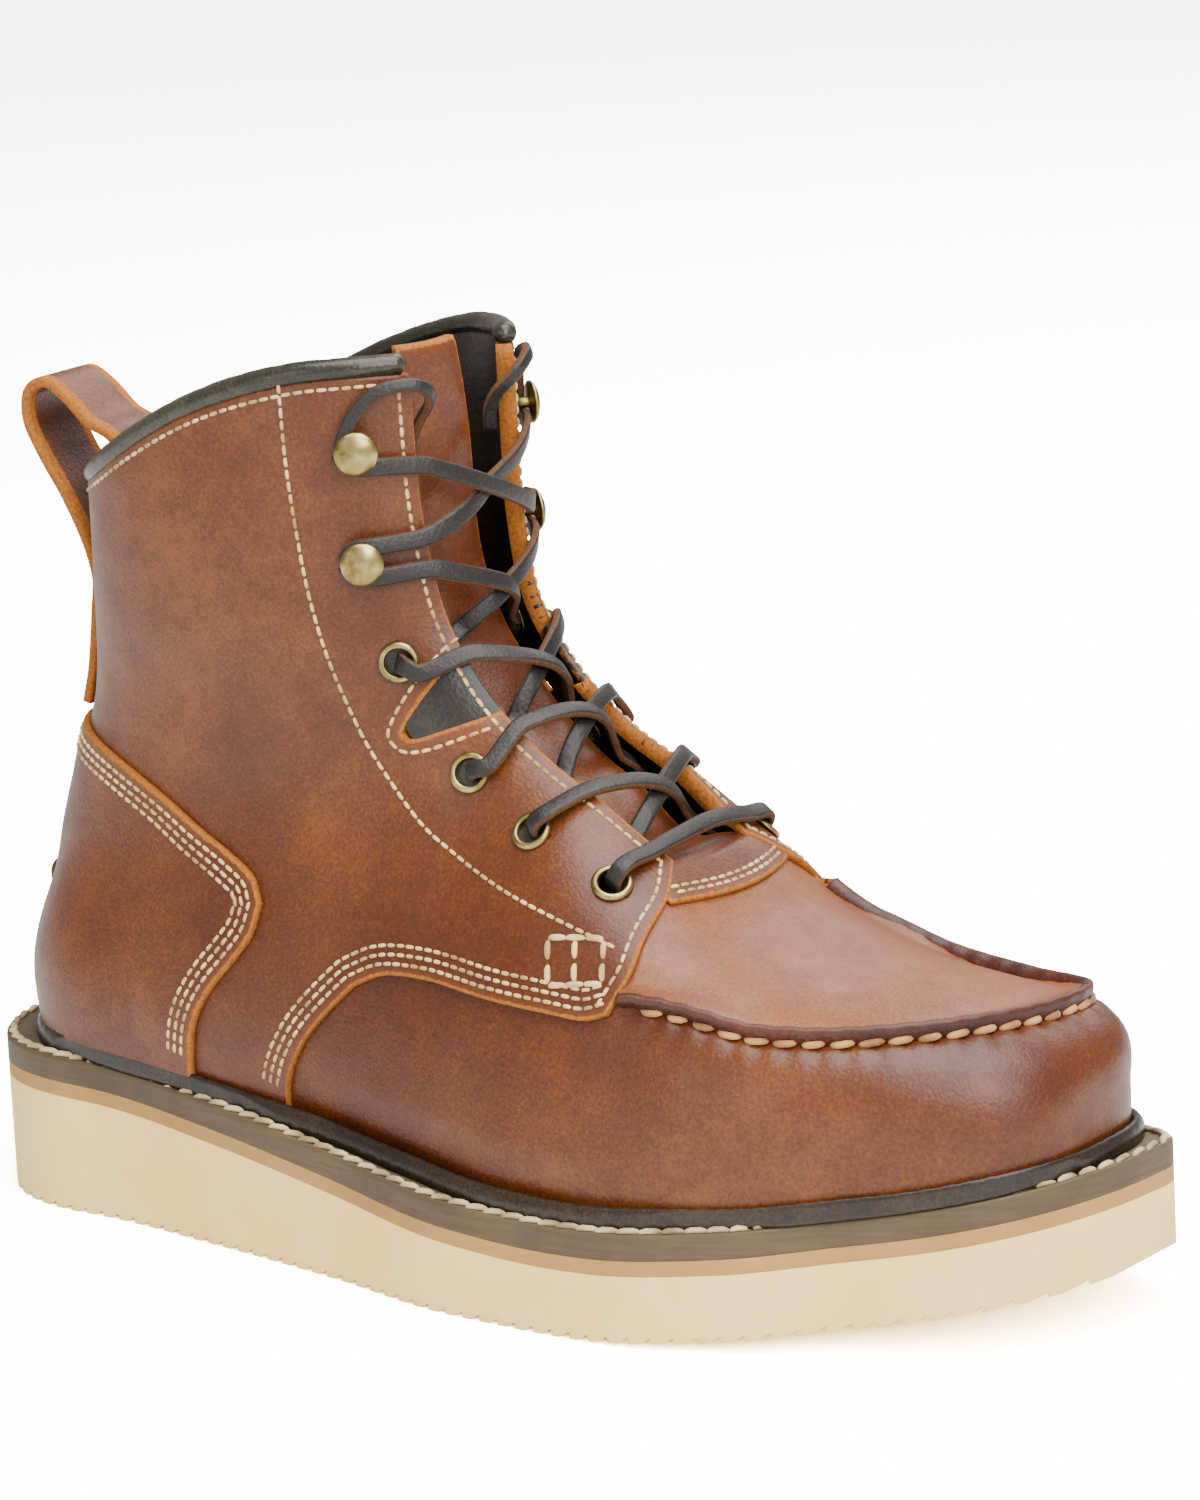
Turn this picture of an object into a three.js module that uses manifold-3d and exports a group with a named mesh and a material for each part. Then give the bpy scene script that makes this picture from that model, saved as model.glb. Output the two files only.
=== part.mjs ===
// Moc toe work boot for the right foot: a hollow leather upper on a flat wedge sole, laced shut.
// Lengths are millimetres. While it is modelled the heel's back is x = 0, the toe points along +X,
// the floor is z = 0 and the outer (little toe) side of the foot is -Y.
import * as THREE from 'three';
import { mergeVertices } from 'three/addons/utils/BufferGeometryUtils.js';
import Module from 'manifold-3d';

const wasm = await Module();
wasm.setup();

// Sole
const SOLE_LENGTH = 306;
const BALL_WIDTH = 111;
const HEEL_HEIGHT = 37.7;          // floor to the ledge that the upper stands on, at the heel
const FOREPART_HEIGHT = 25;        // the same at the ball of the foot
const TOE_SPRING = 13.3;           // how far the toe of the tread lifts off the floor
const MIDSOLE = 6;
const STRIP = 3.5;                 // pale layer between midsole and outsole
const TREAD_PITCH = 5.1;
const TREAD_LAND = 2.2;
const TREAD_DEPTH = 1.4;
const HEEL_ROUND = 42;             // how far the round of the heel reaches forward
const TOE_ROUND = 60;
const TOE_SWING = 17;              // the tip lies this far towards the big toe side

// Upper
const VAMP = 2.4;                  // leather and lining of the lower front
const QUARTER = 1.6;               // the second leather of the sides and shaft
const COUNTER = 1.6;
const INSTEP_RISE = 94;            // top of the instep above the ledge
const SHAFT_RISE = 174;            // collar's front above the heel's ledge
const SHAFT_LENGTH = 107;
const SHAFT_WIDTH = 79;
const CUP = 14;                    // height above the ledge where the foot form is widest
const SIDE_SCALE = 40;
const FORM_BLEND = 22;
const FORM_CORE = 30;              // from the instep's crown in to the line that the gussets fan from
const LIP_HEIGHT = 3.6;            // raised edge of the moc plug
const LIP_WIDTH = 2.2;
const BINDING = 4.8;               // diameter of the rolled collar edge
const BEAD_WIDTH = 4.6;            // storm welt round the foot of the upper
const BEAD_HEIGHT = 5.2;
const INSOLE = 4;
const TONGUE = 2.6;
const GUSSET = 1.0;
const STRAP_WIDTH = 20;
const STRAP = 2.0;

// Eyelets, hooks and lace
const EYELET = 10;
const EYELET_HOLE = 6.4;
const EYELET_BARREL = 0.55;
const FLANGE = 0.8;
const HOOK_CAP = 10;
const HOOK_STANDOFF = 3.4;
const LACE_WIDTH = 3.6;
const LACE = 2.5;

const GAP = 0.3;                   // curved pieces lie this far apart
const SEAT = 0.7;                  // metal lies this far off the leather's facets
const COLLAR_RIBS = 9;             // ribs of the upper from the back to the collar's corner
const THROAT_RIBS = 15;            // and from there round the toe
const OUTLINE_POINTS = 56;

// Plan of the sole: where (share of the length), half widths (shares of the ball width)
const SOLE_PLAN = [
  { at: 0.000, outer: 0.347, inner: 0.338 },
  { at: 0.137, outer: 0.338, inner: 0.342 },
  { at: 0.278, outer: 0.389, inner: 0.324 },
  { at: 0.408, outer: 0.455, inner: 0.311 },
  { at: 0.539, outer: 0.536, inner: 0.360 },
  { at: 0.670, outer: 0.551, inner: 0.450 },
  { at: 0.768, outer: 0.485, inner: 0.473 },
  { at: 0.856, outer: 0.365, inner: 0.432 },
  { at: 1.000, outer: 0.306, inner: 0.360 },
];

// Cross sections of the foot part: half widths and the ridge's lean (shares of the ball width),
// and the ridge above the ledge (share of the instep's rise)
const FOOT_SECTIONS = [
  { at: 0.065, outer: 0.266, inner: 0.266, ridge: 0.400, lean: 0.000 },
  { at: 0.163, outer: 0.288, inner: 0.284, ridge: 0.490, lean: 0.000 },
  { at: 0.278, outer: 0.338, inner: 0.279, ridge: 0.640, lean: 0.000 },
  { at: 0.408, outer: 0.396, inner: 0.270, ridge: 0.873, lean: 0.018 },
  { at: 0.490, outer: 0.446, inner: 0.293, ridge: 0.996, lean: 0.027 },
  { at: 0.572, outer: 0.491, inner: 0.338, ridge: 0.962, lean: 0.027 },
  { at: 0.654, outer: 0.505, inner: 0.396, ridge: 0.783, lean: 0.018 },
  { at: 0.719, outer: 0.482, inner: 0.423, ridge: 0.605, lean: 0.000 },
  { at: 0.784, outer: 0.437, inner: 0.432, ridge: 0.500, lean: 0.000 },
  { at: 0.856, outer: 0.360, inner: 0.419, ridge: 0.445, lean: 0.020 },
  { at: 0.931, outer: 0.297, inner: 0.405, ridge: 0.406, lean: 0.090 },
  { at: 0.980, outer: 0.270, inner: 0.396, ridge: 0.361, lean: 0.126 },
];

// Level sections of heel and shaft: height above the heel's ledge (share of the shaft's rise),
// the back (share of the sole's length), length and half width (shares of the shaft's)
const SHAFT_SECTIONS = [
  { at: 0.000, back: 0.058, length: 0.955, half: 0.388 },
  { at: 0.099, back: 0.049, length: 1.169, half: 0.420 },
  { at: 0.243, back: 0.057, length: 1.258, half: 0.414 },
  { at: 0.386, back: 0.081, length: 1.206, half: 0.405 },
  { at: 0.501, back: 0.103, length: 1.136, half: 0.418 },
  { at: 0.644, back: 0.114, length: 1.038, half: 0.462 },
  { at: 0.788, back: 0.119, length: 0.992, half: 0.487 },
  { at: 1.000, back: 0.121, length: 0.981, half: 0.500 },
];

// The rim of the upper, from the collar's back round its side and down the throat to its foot.
// foot is the spot of the sole's edge below (share of the length), x a share of the sole's length,
// y of the shaft's width, z of the shaft's rise above the heel's ledge
const RIM = [
  { foot: 0.000, x: 0.119, y: 0.000, z: 0.772 },
  { foot: 0.016, x: 0.124, y: 0.152, z: 0.775 },
  { foot: 0.052, x: 0.144, y: 0.291, z: 0.786 },
  { foot: 0.111, x: 0.176, y: 0.405, z: 0.812 },
  { foot: 0.180, x: 0.229, y: 0.481, z: 0.861 },
  { foot: 0.255, x: 0.288, y: 0.500, z: 0.910 },
  { foot: 0.320, x: 0.346, y: 0.487, z: 0.944 },
  { foot: 0.366, x: 0.395, y: 0.418, z: 0.961 },
  { foot: 0.405, x: 0.431, y: 0.316, z: 0.964 },
  { foot: 0.435, x: 0.448, y: 0.247, z: 0.962 },
  { foot: 0.470, x: 0.451, y: 0.241, z: 0.817 },
  { foot: 0.500, x: 0.461, y: 0.222, z: 0.674 },
  { foot: 0.529, x: 0.493, y: 0.203, z: 0.553 },
  { foot: 0.582, x: 0.556, y: 0.196, z: 0.456 },
  { foot: 0.641, x: 0.621, y: 0.190, z: 0.375 },
  { foot: 0.686, x: 0.652, y: 0.177, z: 0.345 },
  { foot: 0.817, x: 0.670, y: 0.130, z: 0.328 },
  { foot: 1.000, x: 0.674, y: 0.000, z: 0.325 },
];

// Rows of the upper's grid, as shares of each rib from foot to rim
const ROW_SHARES = [0, 0.11, 0.22, 0.34, 0.46, 0.58, 0.69, 0.79, 0.87, 0.94, 1];
const ROWS = ROW_SHARES.length - 1;

// The near edge of the quarter in side view, from the welt over the wing to the throat:
// x as a share of the sole's length, z as a share of the instep's rise above the floor
const QUARTER_EDGE = [
  { x: 0.346, z: 0.300 },
  { x: 0.352, z: 0.440 },
  { x: 0.370, z: 0.560 },
  { x: 0.390, z: 0.655 },
  { x: 0.415, z: 0.722 },
  { x: 0.448, z: 0.754 },
  { x: 0.490, z: 0.760 },
  { x: 0.565, z: 0.750 },
  { x: 0.638, z: 0.742 },
  { x: 0.655, z: 0.742 },
  { x: 0.670, z: 0.790 },
  { x: 0.674, z: 0.850 },
  { x: 0.672, z: 0.960 },
  { x: 0.655, z: 1.050 },
];

// The counter's upper edge in side view, from the heel's back to the welt
const COUNTER_EDGE = [
  { x: 0.080, z: 1.225 },
  { x: 0.160, z: 1.180 },
  { x: 0.216, z: 1.112 },
  { x: 0.262, z: 1.030 },
  { x: 0.300, z: 0.966 },
  { x: 0.321, z: 0.915 },
  { x: 0.325, z: 0.872 },
  { x: 0.317, z: 0.795 },
  { x: 0.300, z: 0.720 },
  { x: 0.278, z: 0.640 },
  { x: 0.264, z: 0.560 },
  { x: 0.254, z: 0.460 },
];

// Notch in the front of each quarter, between the upper two eyelets
const NOTCH = [
  { x: 0.476, z: 1.500 },
  { x: 0.443, z: 1.335 },
  { x: 0.452, z: 1.305 },
  { x: 0.505, z: 1.360 },
];

// Plan of the moc seam: shares of the sole's length and of the ball width
const MOC_SEAM = [
  { x: 0.672, y: -0.410 },
  { x: 0.714, y: -0.384 },
  { x: 0.765, y: -0.360 },
  { x: 0.801, y: -0.330 },
  { x: 0.836, y: -0.284 },
  { x: 0.868, y: -0.226 },
  { x: 0.896, y: -0.151 },
  { x: 0.919, y: -0.045 },
  { x: 0.929, y: 0.085 },
  { x: 0.925, y: 0.200 },
  { x: 0.906, y: 0.275 },
  { x: 0.870, y: 0.310 },
  { x: 0.820, y: 0.325 },
  { x: 0.770, y: 0.330 },
  { x: 0.720, y: 0.325 },
  { x: 0.680, y: 0.315 },
];

// Eyelets (from the toe up) and hooks: shares of the sole's length, half the shaft's width
// and the height above the floor by the instep's rise
const EYELETS = [
  { x: 0.632, y: 0.735, z: 1.010 },
  { x: 0.559, y: 0.690, z: 1.112 },
  { x: 0.498, y: 0.640, z: 1.235 },
  { x: 0.440, y: 0.655, z: 1.490 },
];
const HOOKS = [
  { x: 0.420, y: 0.725, z: 1.740 },
  { x: 0.419, y: 0.725, z: 2.010 },
];

// The pull loop in side view, from where it leaves the shaft's back, over and into the collar:
// back and up as shares of how far it stands out behind the collar
const LOOP_REACH = 22;
const LOOP = [
  { along: -0.29, up: -0.64 },
  { along: -0.52, up: -0.23 },
  { along: -0.81, up: 0.18 },
  { along: -1.00, up: 0.55 },
  { along: -0.96, up: 0.86 },
  { along: -0.72, up: 0.98 },
  { along: -0.43, up: 0.84 },
  { along: -0.13, up: 0.59 },
  { along: 0.17, up: 0.45 },
  { along: 0.35, up: 0.20 },
  { along: 0.37, up: -0.18 },
  { along: 0.35, up: -0.55 },
];

// Monotone cubic through a table's column, against another column
function follow(table, key, by = 'at') {
  const xs = table.map((row) => row[by]);
  const ys = table.map((row) => row[key]);
  const slopes = xs.slice(1).map((x, i) => (ys[i + 1] - ys[i]) / (x - xs[i]));
  const tangents = xs.map((_, i) => {
    if (i === 0) return slopes[0];
    if (i === xs.length - 1) return slopes[i - 1];
    const before = slopes[i - 1];
    const after = slopes[i];
    return before * after <= 0 ? 0 : (2 * before * after) / (before + after);
  });
  return (x) => {
    const at = Math.min(Math.max(x, xs[0]), xs[xs.length - 1]);
    let i = 0;
    while (i < xs.length - 2 && at > xs[i + 1]) i += 1;
    const step = xs[i + 1] - xs[i];
    const t = (at - xs[i]) / step;
    const rise = (3 - 2 * t) * t * t;
    const lead = t * (1 - t) * (1 - t) * tangents[i];
    const tail = t * t * (t - 1) * tangents[i + 1];
    return ys[i] + (ys[i + 1] - ys[i]) * rise + step * (lead + tail);
  };
}

const clamp01 = (t) => Math.min(Math.max(t, 0), 1);
const ease = (t) => clamp01(t) * clamp01(t) * (3 - 2 * clamp01(t));
const mix = (a, b, t) => a + (b - a) * t;

// Heights of tread and ledge along the sole
const SPRING_FROM = 0.585 * SOLE_LENGTH;
const WEDGE_FROM = 0.085 * SOLE_LENGTH;
const WEDGE_TO = 0.647 * SOLE_LENGTH;
function treadHeight(x) {
  const t = Math.max(0, (x - SPRING_FROM) / (SOLE_LENGTH - SPRING_FROM));
  return TOE_SPRING * t * t;
}
function ledgeHeight(x) {
  const slope = ease((x - WEDGE_FROM) / (WEDGE_TO - WEDGE_FROM));
  return mix(HEEL_HEIGHT, FOREPART_HEIGHT, slope) + treadHeight(x);
}

// Plan of the sole: side is -1 for the outer edge and 1 for the inner one
const HEEL_POWER = 2.2;
const TOE_POWER = 2.25;
const planHalf = { '-1': follow(SOLE_PLAN, 'outer'), 1: follow(SOLE_PLAN, 'inner') };
function soleEdge(x, side) {
  const toeStart = SOLE_LENGTH - TOE_ROUND;
  const middle = TOE_SWING * clamp01((x - toeStart) / TOE_ROUND);
  const half = planHalf[side](x / SOLE_LENGTH) * BALL_WIDTH;
  const swung = Math.abs(side * half - middle);
  const reach = middle === 0 ? half : swung;
  const heel = Math.max(0, (HEEL_ROUND - x) / HEEL_ROUND);
  const toe = Math.max(0, (x - toeStart) / TOE_ROUND);
  const round = (1 - heel ** HEEL_POWER) ** (1 / HEEL_POWER);
  const tip = Math.max(0, 1 - toe ** TOE_POWER) ** (1 / TOE_POWER);
  return middle + side * reach * round * tip;
}
function soleOutline(points) {
  return Array.from({ length: points }, (_, i) => {
    const angle = (2 * Math.PI * i) / points;
    const x = (SOLE_LENGTH * (1 - Math.cos(angle))) / 2;
    return new THREE.Vector2(x, soleEdge(x, i < points / 2 ? -1 : 1));
  });
}

// The last: a signed measure that is 0 on the outer face of the leather and negative inside
const footHalf = { '-1': follow(FOOT_SECTIONS, 'outer'), 1: follow(FOOT_SECTIONS, 'inner') };
const footRidge = follow(FOOT_SECTIONS, 'ridge');
const footLean = follow(FOOT_SECTIONS, 'lean');
const FOOT_FROM = 0.065 * SOLE_LENGTH;
const FOOT_TO = 0.98 * SOLE_LENGTH;
const TOE_CAP_FROM = 0.758 * SOLE_LENGTH;
const TOE_CAP_TO = 0.971 * SOLE_LENGTH;
const HEEL_CAP_FROM = 0.15 * SOLE_LENGTH;
const HEEL_CAP_LENGTH = 29;
const UNDER_CUP = 46;
function footForm(x, y, z) {
  const along = Math.min(Math.max(x, FOOT_FROM), FOOT_TO);
  const share = along / SOLE_LENGTH;
  const outer = footHalf[-1](share) * BALL_WIDTH;
  const inner = footHalf[1](share) * BALL_WIDTH;
  const widest = ledgeHeight(along) + CUP;
  const ridge = footRidge(share) * INSTEP_RISE - CUP;
  const up = z > widest ? (z - widest) / ridge : (widest - z) / UNDER_CUP;
  const lean = z > widest ? clamp01(up) : 0;
  const middle = mix((inner - outer) / 2, footLean(share) * BALL_WIDTH, lean);
  const across = Math.abs(y - middle) / ((inner + outer) / 2);
  const square = clamp01((x - 0.49 * SOLE_LENGTH) / (0.26 * SOLE_LENGTH));
  const sidePower = mix(2, y > middle ? 2.2 : 3.2, square);
  const toe = Math.max(0, (x - TOE_CAP_FROM) / (TOE_CAP_TO - TOE_CAP_FROM));
  const heel = Math.max(0, (HEEL_CAP_FROM - x) / HEEL_CAP_LENGTH);
  const sum = toe ** 3.4 + heel ** 2.2 + across ** sidePower + up ** mix(2, 3, square);
  return (sum ** (1 / 2.1) - 1) * SIDE_SCALE;
}
const shaftBack = follow(SHAFT_SECTIONS, 'back');
const shaftLength = follow(SHAFT_SECTIONS, 'length');
const shaftHalf = follow(SHAFT_SECTIONS, 'half');
function shaftForm(x, y, z) {
  const share = (z - HEEL_HEIGHT) / SHAFT_RISE;
  const half = shaftHalf(share) * SHAFT_WIDTH;
  const reach = (shaftLength(share) * SHAFT_LENGTH) / 2;
  const middle = shaftBack(share) * SOLE_LENGTH + reach;
  const sum = (Math.abs(x - middle) / reach) ** 2.3 + (Math.abs(y) / half) ** 2.3;
  return (sum ** (1 / 2.3) - 1) * half;
}
function form(x, y, z) {
  const foot = footForm(x, y, z);
  const shaft = shaftForm(x, y, z);
  const share = clamp01(0.5 + (shaft - foot) / (2 * FORM_BLEND));
  return mix(shaft, foot, share) - FORM_BLEND * share * (1 - share);
}
function slopeAt(p) {
  const e = 0.4;
  return new THREE.Vector3(
    form(p.x + e, p.y, p.z) - form(p.x - e, p.y, p.z),
    form(p.x, p.y + e, p.z) - form(p.x, p.y - e, p.z),
    form(p.x, p.y, p.z + e) - form(p.x, p.y, p.z - e),
  ).divideScalar(2 * e);
}
// Slides a guessed point to the leather's face. A level slide keeps its height.
function onLeather(guess, level = false) {
  const p = guess.clone();
  for (let i = 0; i < 12; i += 1) {
    const slope = slopeAt(p);
    if (level) slope.z = 0;
    const step = form(p.x, p.y, p.z) / Math.max(slope.lengthSq(), 0.05);
    p.addScaledVector(slope, -Math.min(Math.max(step, -15), 15));
  }
  return p;
}
const outward = (p) => slopeAt(p).normalize();
const lifted = (p, lift) => p.clone().addScaledVector(outward(p), lift);

// Closed solid from a list of equal sections; closed joins the last section to the first
function skin(sections, closed = false) {
  const count = sections[0].length;
  const points = sections.flat();
  const faces = [];
  const spans = closed ? sections.length : sections.length - 1;
  for (let i = 0; i < spans; i += 1) {
    const here = i * count;
    const next = ((i + 1) % sections.length) * count;
    for (let j = 0; j < count; j += 1) {
      const k = (j + 1) % count;
      const [a, b, c, d] = [here + j, here + k, next + k, next + j];
      const split = points[a].distanceTo(points[c]) <= points[b].distanceTo(points[d]);
      faces.push(...(split ? [a, b, c, a, c, d] : [a, b, d, b, c, d]));
    }
  }
  if (!closed) {
    const last = (sections.length - 1) * count;
    for (let j = 0; j + 1 < count - 1 - j; j += 1) {
      const quad = [j, j + 1, count - 2 - j, count - 1 - j];
      const halves = quad[1] === quad[2] ? [[0, 1, 3]] : [[0, 1, 2], [0, 2, 3]];
      halves.forEach(([a, b, c]) => {
        faces.push(quad[a], quad[c], quad[b], last + quad[a], last + quad[b], last + quad[c]);
      });
    }
  }
  const geometry = new THREE.BufferGeometry().setFromPoints(points);
  geometry.setIndex(faces);
  return facingOut(geometry);
}
function facingOut(geometry) {
  const index = geometry.getIndex().array;
  const at = geometry.getAttribute('position');
  const corner = (i) => new THREE.Vector3().fromBufferAttribute(at, i);
  let volume = 0;
  for (let i = 0; i < index.length; i += 3) {
    volume += corner(index[i]).dot(corner(index[i + 1]).cross(corner(index[i + 2])));
  }
  if (volume < 0) {
    for (let i = 0; i < index.length; i += 3) {
      [index[i], index[i + 1]] = [index[i + 1], index[i]];
    }
  }
  return geometry;
}

// Joins and cuts
function solid(geometry) {
  const bare = geometry.clone();
  bare.deleteAttribute('normal');
  bare.deleteAttribute('uv');
  const merged = mergeVertices(bare, 1e-4);
  return new wasm.Manifold(new wasm.Mesh({
    numProp: 3,
    vertProperties: new Float32Array(merged.getAttribute('position').array),
    triVerts: new Uint32Array(merged.getIndex().array),
  }));
}
function geometryOf(manifold) {
  const mesh = manifold.getMesh();
  const geometry = new THREE.BufferGeometry();
  geometry.setAttribute('position', new THREE.BufferAttribute(mesh.vertProperties, 3));
  geometry.setIndex(new THREE.BufferAttribute(mesh.triVerts, 1));
  return geometry;
}

// A side view outline stretched right across the boot
const ACROSS = 2 * BALL_WIDTH;
function sideBlock(points, from = -ACROSS / 2, depth = ACROSS) {
  const shape = new THREE.Shape(points.map((p) => new THREE.Vector2(p.x, p.z)));
  const block = new THREE.ExtrudeGeometry(shape, { depth, bevelEnabled: false, steps: 1 });
  block.rotateX(Math.PI / 2);
  block.translate(0, from + depth, 0);
  return solid(block);
}

const boot = new THREE.Group();
function add(name, geometry, color, roughness, metalness = 0) {
  geometry.computeVertexNormals();
  const mesh = new THREE.Mesh(
    geometry,
    new THREE.MeshStandardMaterial({ color, roughness, metalness }),
  );
  mesh.name = name;
  boot.add(mesh);
}
const LEATHER = 0x7a3f20;
const DARK_LEATHER = 0x241a14;
const RAW_EDGE = 0xb5662c;
const CREPE = 0xefe4bd;
const TAN = 0xdcc698;
const GREY_BROWN = 0x8c7a63;
const BRASS = 0x9c8156;

// Sole: every layer is a side view outline cut to the sole's plan
const planShape = new THREE.Shape(soleOutline(OUTLINE_POINTS));
const plan = solid(new THREE.ExtrudeGeometry(planShape, {
  depth: HEEL_HEIGHT + TOE_SPRING + FOREPART_HEIGHT,
  bevelEnabled: false,
  steps: 1,
}).translate(0, 0, -1));
const SIDE_STEPS = 22;
const OVERRUN = 5;                 // side view outlines run this far past both ends of the sole
const TOOTH_FACE = 0.2;            // the steep face of a tread tooth leans this much
function ledgeLine(drop) {
  return Array.from({ length: SIDE_STEPS + 1 }, (_, i) => {
    const x = mix(-OVERRUN, SOLE_LENGTH + OVERRUN, i / SIDE_STEPS);
    return { x, z: ledgeHeight(x) - drop };
  });
}
function treadLine() {
  const line = [];
  const teeth = Math.ceil((SOLE_LENGTH + 2 * OVERRUN) / TREAD_PITCH);
  for (let i = 0; i < teeth; i += 1) {
    const x = i * TREAD_PITCH - OVERRUN;
    line.push({ x, z: treadHeight(x) });
    line.push({ x: x + TREAD_LAND, z: treadHeight(x + TREAD_LAND) });
    const tip = x + TREAD_PITCH - TOOTH_FACE;
    line.push({ x: tip, z: treadHeight(x + TREAD_PITCH) + TREAD_DEPTH });
  }
  return line;
}
function soleLayer(bottom, top) {
  return geometryOf(sideBlock([...bottom, ...top.slice().reverse()]).intersect(plan));
}
const tread = treadLine().filter((p) => p.x <= SOLE_LENGTH + OVERRUN);
add('outsole', soleLayer(tread, ledgeLine(MIDSOLE + STRIP)), CREPE, 0.8);
add('midsole_strip', soleLayer(ledgeLine(MIDSOLE + STRIP - GAP), ledgeLine(MIDSOLE)), TAN, 0.8);
add('midsole', soleLayer(ledgeLine(MIDSOLE - GAP), ledgeLine(0)), GREY_BROWN, 0.8);

// Upper: ribs run from the foot of the leather up to the rim
const LEDGE_INSET = 8.5;
const LEDGE_SHARE = 0.84;          // about where the upper stands across the sole's half width
const FINE = 40;
const rimX = follow(RIM, 'x', 'foot');
const rimY = follow(RIM, 'y', 'foot');
const rimZ = follow(RIM, 'z', 'foot');
function ribEnds(share, side) {
  const inset = mix(LEDGE_INSET, SOLE_LENGTH - LEDGE_INSET, share);
  const edge = soleEdge(share * SOLE_LENGTH, side);
  const foot = new THREE.Vector3(inset, edge * LEDGE_SHARE, ledgeHeight(inset) + GAP);
  const rim = new THREE.Vector3(
    rimX(share) * SOLE_LENGTH,
    side * rimY(share) * SHAFT_WIDTH,
    HEEL_HEIGHT + rimZ(share) * SHAFT_RISE,
  );
  return { foot: onLeather(foot, true), rim: onLeather(rim) };
}
// Running length of a line of points, and a point at a share of it
function runOf(points) {
  const run = [0];
  for (let k = 1; k < points.length; k += 1) {
    run.push(run[k - 1] + points[k].distanceTo(points[k - 1]));
  }
  return run;
}
function placeOn(run, goal) {
  let k = 1;
  while (k < run.length - 1 && run[k] < goal) k += 1;
  return { k, t: (goal - run[k - 1]) / (run[k] - run[k - 1]) };
}
function rib(place, side) {
  const { foot, rim } = ribEnds(place, side);
  const fine = [foot];
  for (let k = 1; k < FINE; k += 1) {
    fine.push(onLeather(foot.clone().lerp(rim, k / FINE)));
  }
  fine.push(rim);
  const run = runOf(fine);
  return ROW_SHARES.map((share, row) => {
    const { k, t } = placeOn(run, run[FINE] * share);
    const p = fine[k - 1].clone().lerp(fine[k], t);
    return row === 0 || row === ROWS ? p : onLeather(p);
  });
}
// Ribs are evenly spaced by foot and rim together, with one at each front corner of the collar
function ribShares(from, to, count, footWeight) {
  const shares = Array.from(
    { length: FINE + 1 },
    (_, k) => mix(from, to, (1 - Math.cos((Math.PI * k) / FINE)) / 2),
  );
  const ends = shares.map((share) => ribEnds(share, -1));
  const foot = runOf(ends.map((end) => end.foot));
  const rim = runOf(ends.map((end) => end.rim));
  const both = foot.map((length, k) => mix(rim[k] / rim[FINE], length / foot[FINE], footWeight));
  return Array.from({ length: count }, (_, i) => {
    const { k, t } = placeOn(both, i / count);
    return mix(shares[k - 1], shares[k], Math.max(t, 0));
  });
}
const RIM_CORNER = 0.435;
const halfShares = [
  ...ribShares(0, RIM_CORNER, COLLAR_RIBS, 0.5),
  ...ribShares(RIM_CORNER, 1, THROAT_RIBS, 0.66),
];
const ribs = [
  ...halfShares.map((share) => rib(share, -1)),
  rib(1, -1),
  ...halfShares.slice(1).reverse().map((share) => rib(share, 1)),
];

// The vamp lies one quarter's thickness lower where the quarters cover it
const VAMP_RISE_FROM = 0.67 * SOLE_LENGTH;
const VAMP_RISE_TO = 0.745 * SOLE_LENGTH;
const vampDrop = (x) => QUARTER * (1 - ease((x - VAMP_RISE_FROM) / (VAMP_RISE_TO - VAMP_RISE_FROM)));
function wall(outerLift, innerLift) {
  const sections = ribs.map((points) => {
    const flat = (p, row) => (row === 0 ? p.setZ(ledgeHeight(p.x) + GAP) : p);
    const outer = points.map((p, row) => flat(lifted(p, outerLift(p)), row));
    const inner = points.map((p, row) => flat(lifted(p, innerLift(p)), row));
    return [...outer, ...inner.reverse()];
  });
  return solid(skin(sections, true));
}
const insideLift = (p) => -vampDrop(p.x) - VAMP;
const vampWall = wall((p) => -vampDrop(p.x), insideLift);
const quarterWall = wall(() => 0, insideLift);

const instepPoint = (row) => ({ x: row.x * SOLE_LENGTH, z: row.z * INSTEP_RISE });
const quarterBlock = sideBlock([
  { x: -SOLE_LENGTH, z: 0 },
  { x: QUARTER_EDGE[0].x * SOLE_LENGTH, z: 0 },
  ...QUARTER_EDGE.map(instepPoint),
  { x: 0.645 * SOLE_LENGTH, z: 2 * SHAFT_RISE },
  { x: -SOLE_LENGTH, z: 2 * SHAFT_RISE },
]);
const notchBlock = sideBlock(NOTCH.map(instepPoint));
const WALL = VAMP + QUARTER;
const ringPoint = (frame, radius, height, angle) => frame.at.clone()
  .addScaledVector(frame.out, height)
  .addScaledVector(frame.front, radius * Math.cos(angle))
  .addScaledVector(frame.up, radius * Math.sin(angle));
// A spot on the eyestay: out of the leather, towards the throat, and up along the eyestay
function eyestaySpot(row, side) {
  const at = onLeather(new THREE.Vector3(
    row.x * SOLE_LENGTH,
    (side * row.y * SHAFT_WIDTH) / 2,
    row.z * INSTEP_RISE,
  ));
  const out = outward(at);
  const front = new THREE.Vector3(0, -side, 0).addScaledVector(out, side * out.y).normalize();
  const up = new THREE.Vector3().crossVectors(out, front).multiplyScalar(side).normalize();
  return { at, out, front, up: up.z < 0 ? up.negate() : up, side };
}
const ROUND = 8;
const around = (make, steps = ROUND) => Array.from(
  { length: steps },
  (_, i) => make((2 * Math.PI * i) / steps),
);
// A ring or disc turned about a spot's axis, from its radius and height pairs
function turned(frame, profile) {
  return skin(around((angle) => profile.map(([r, h]) => ringPoint(frame, r, h, angle))), true);
}
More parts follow.
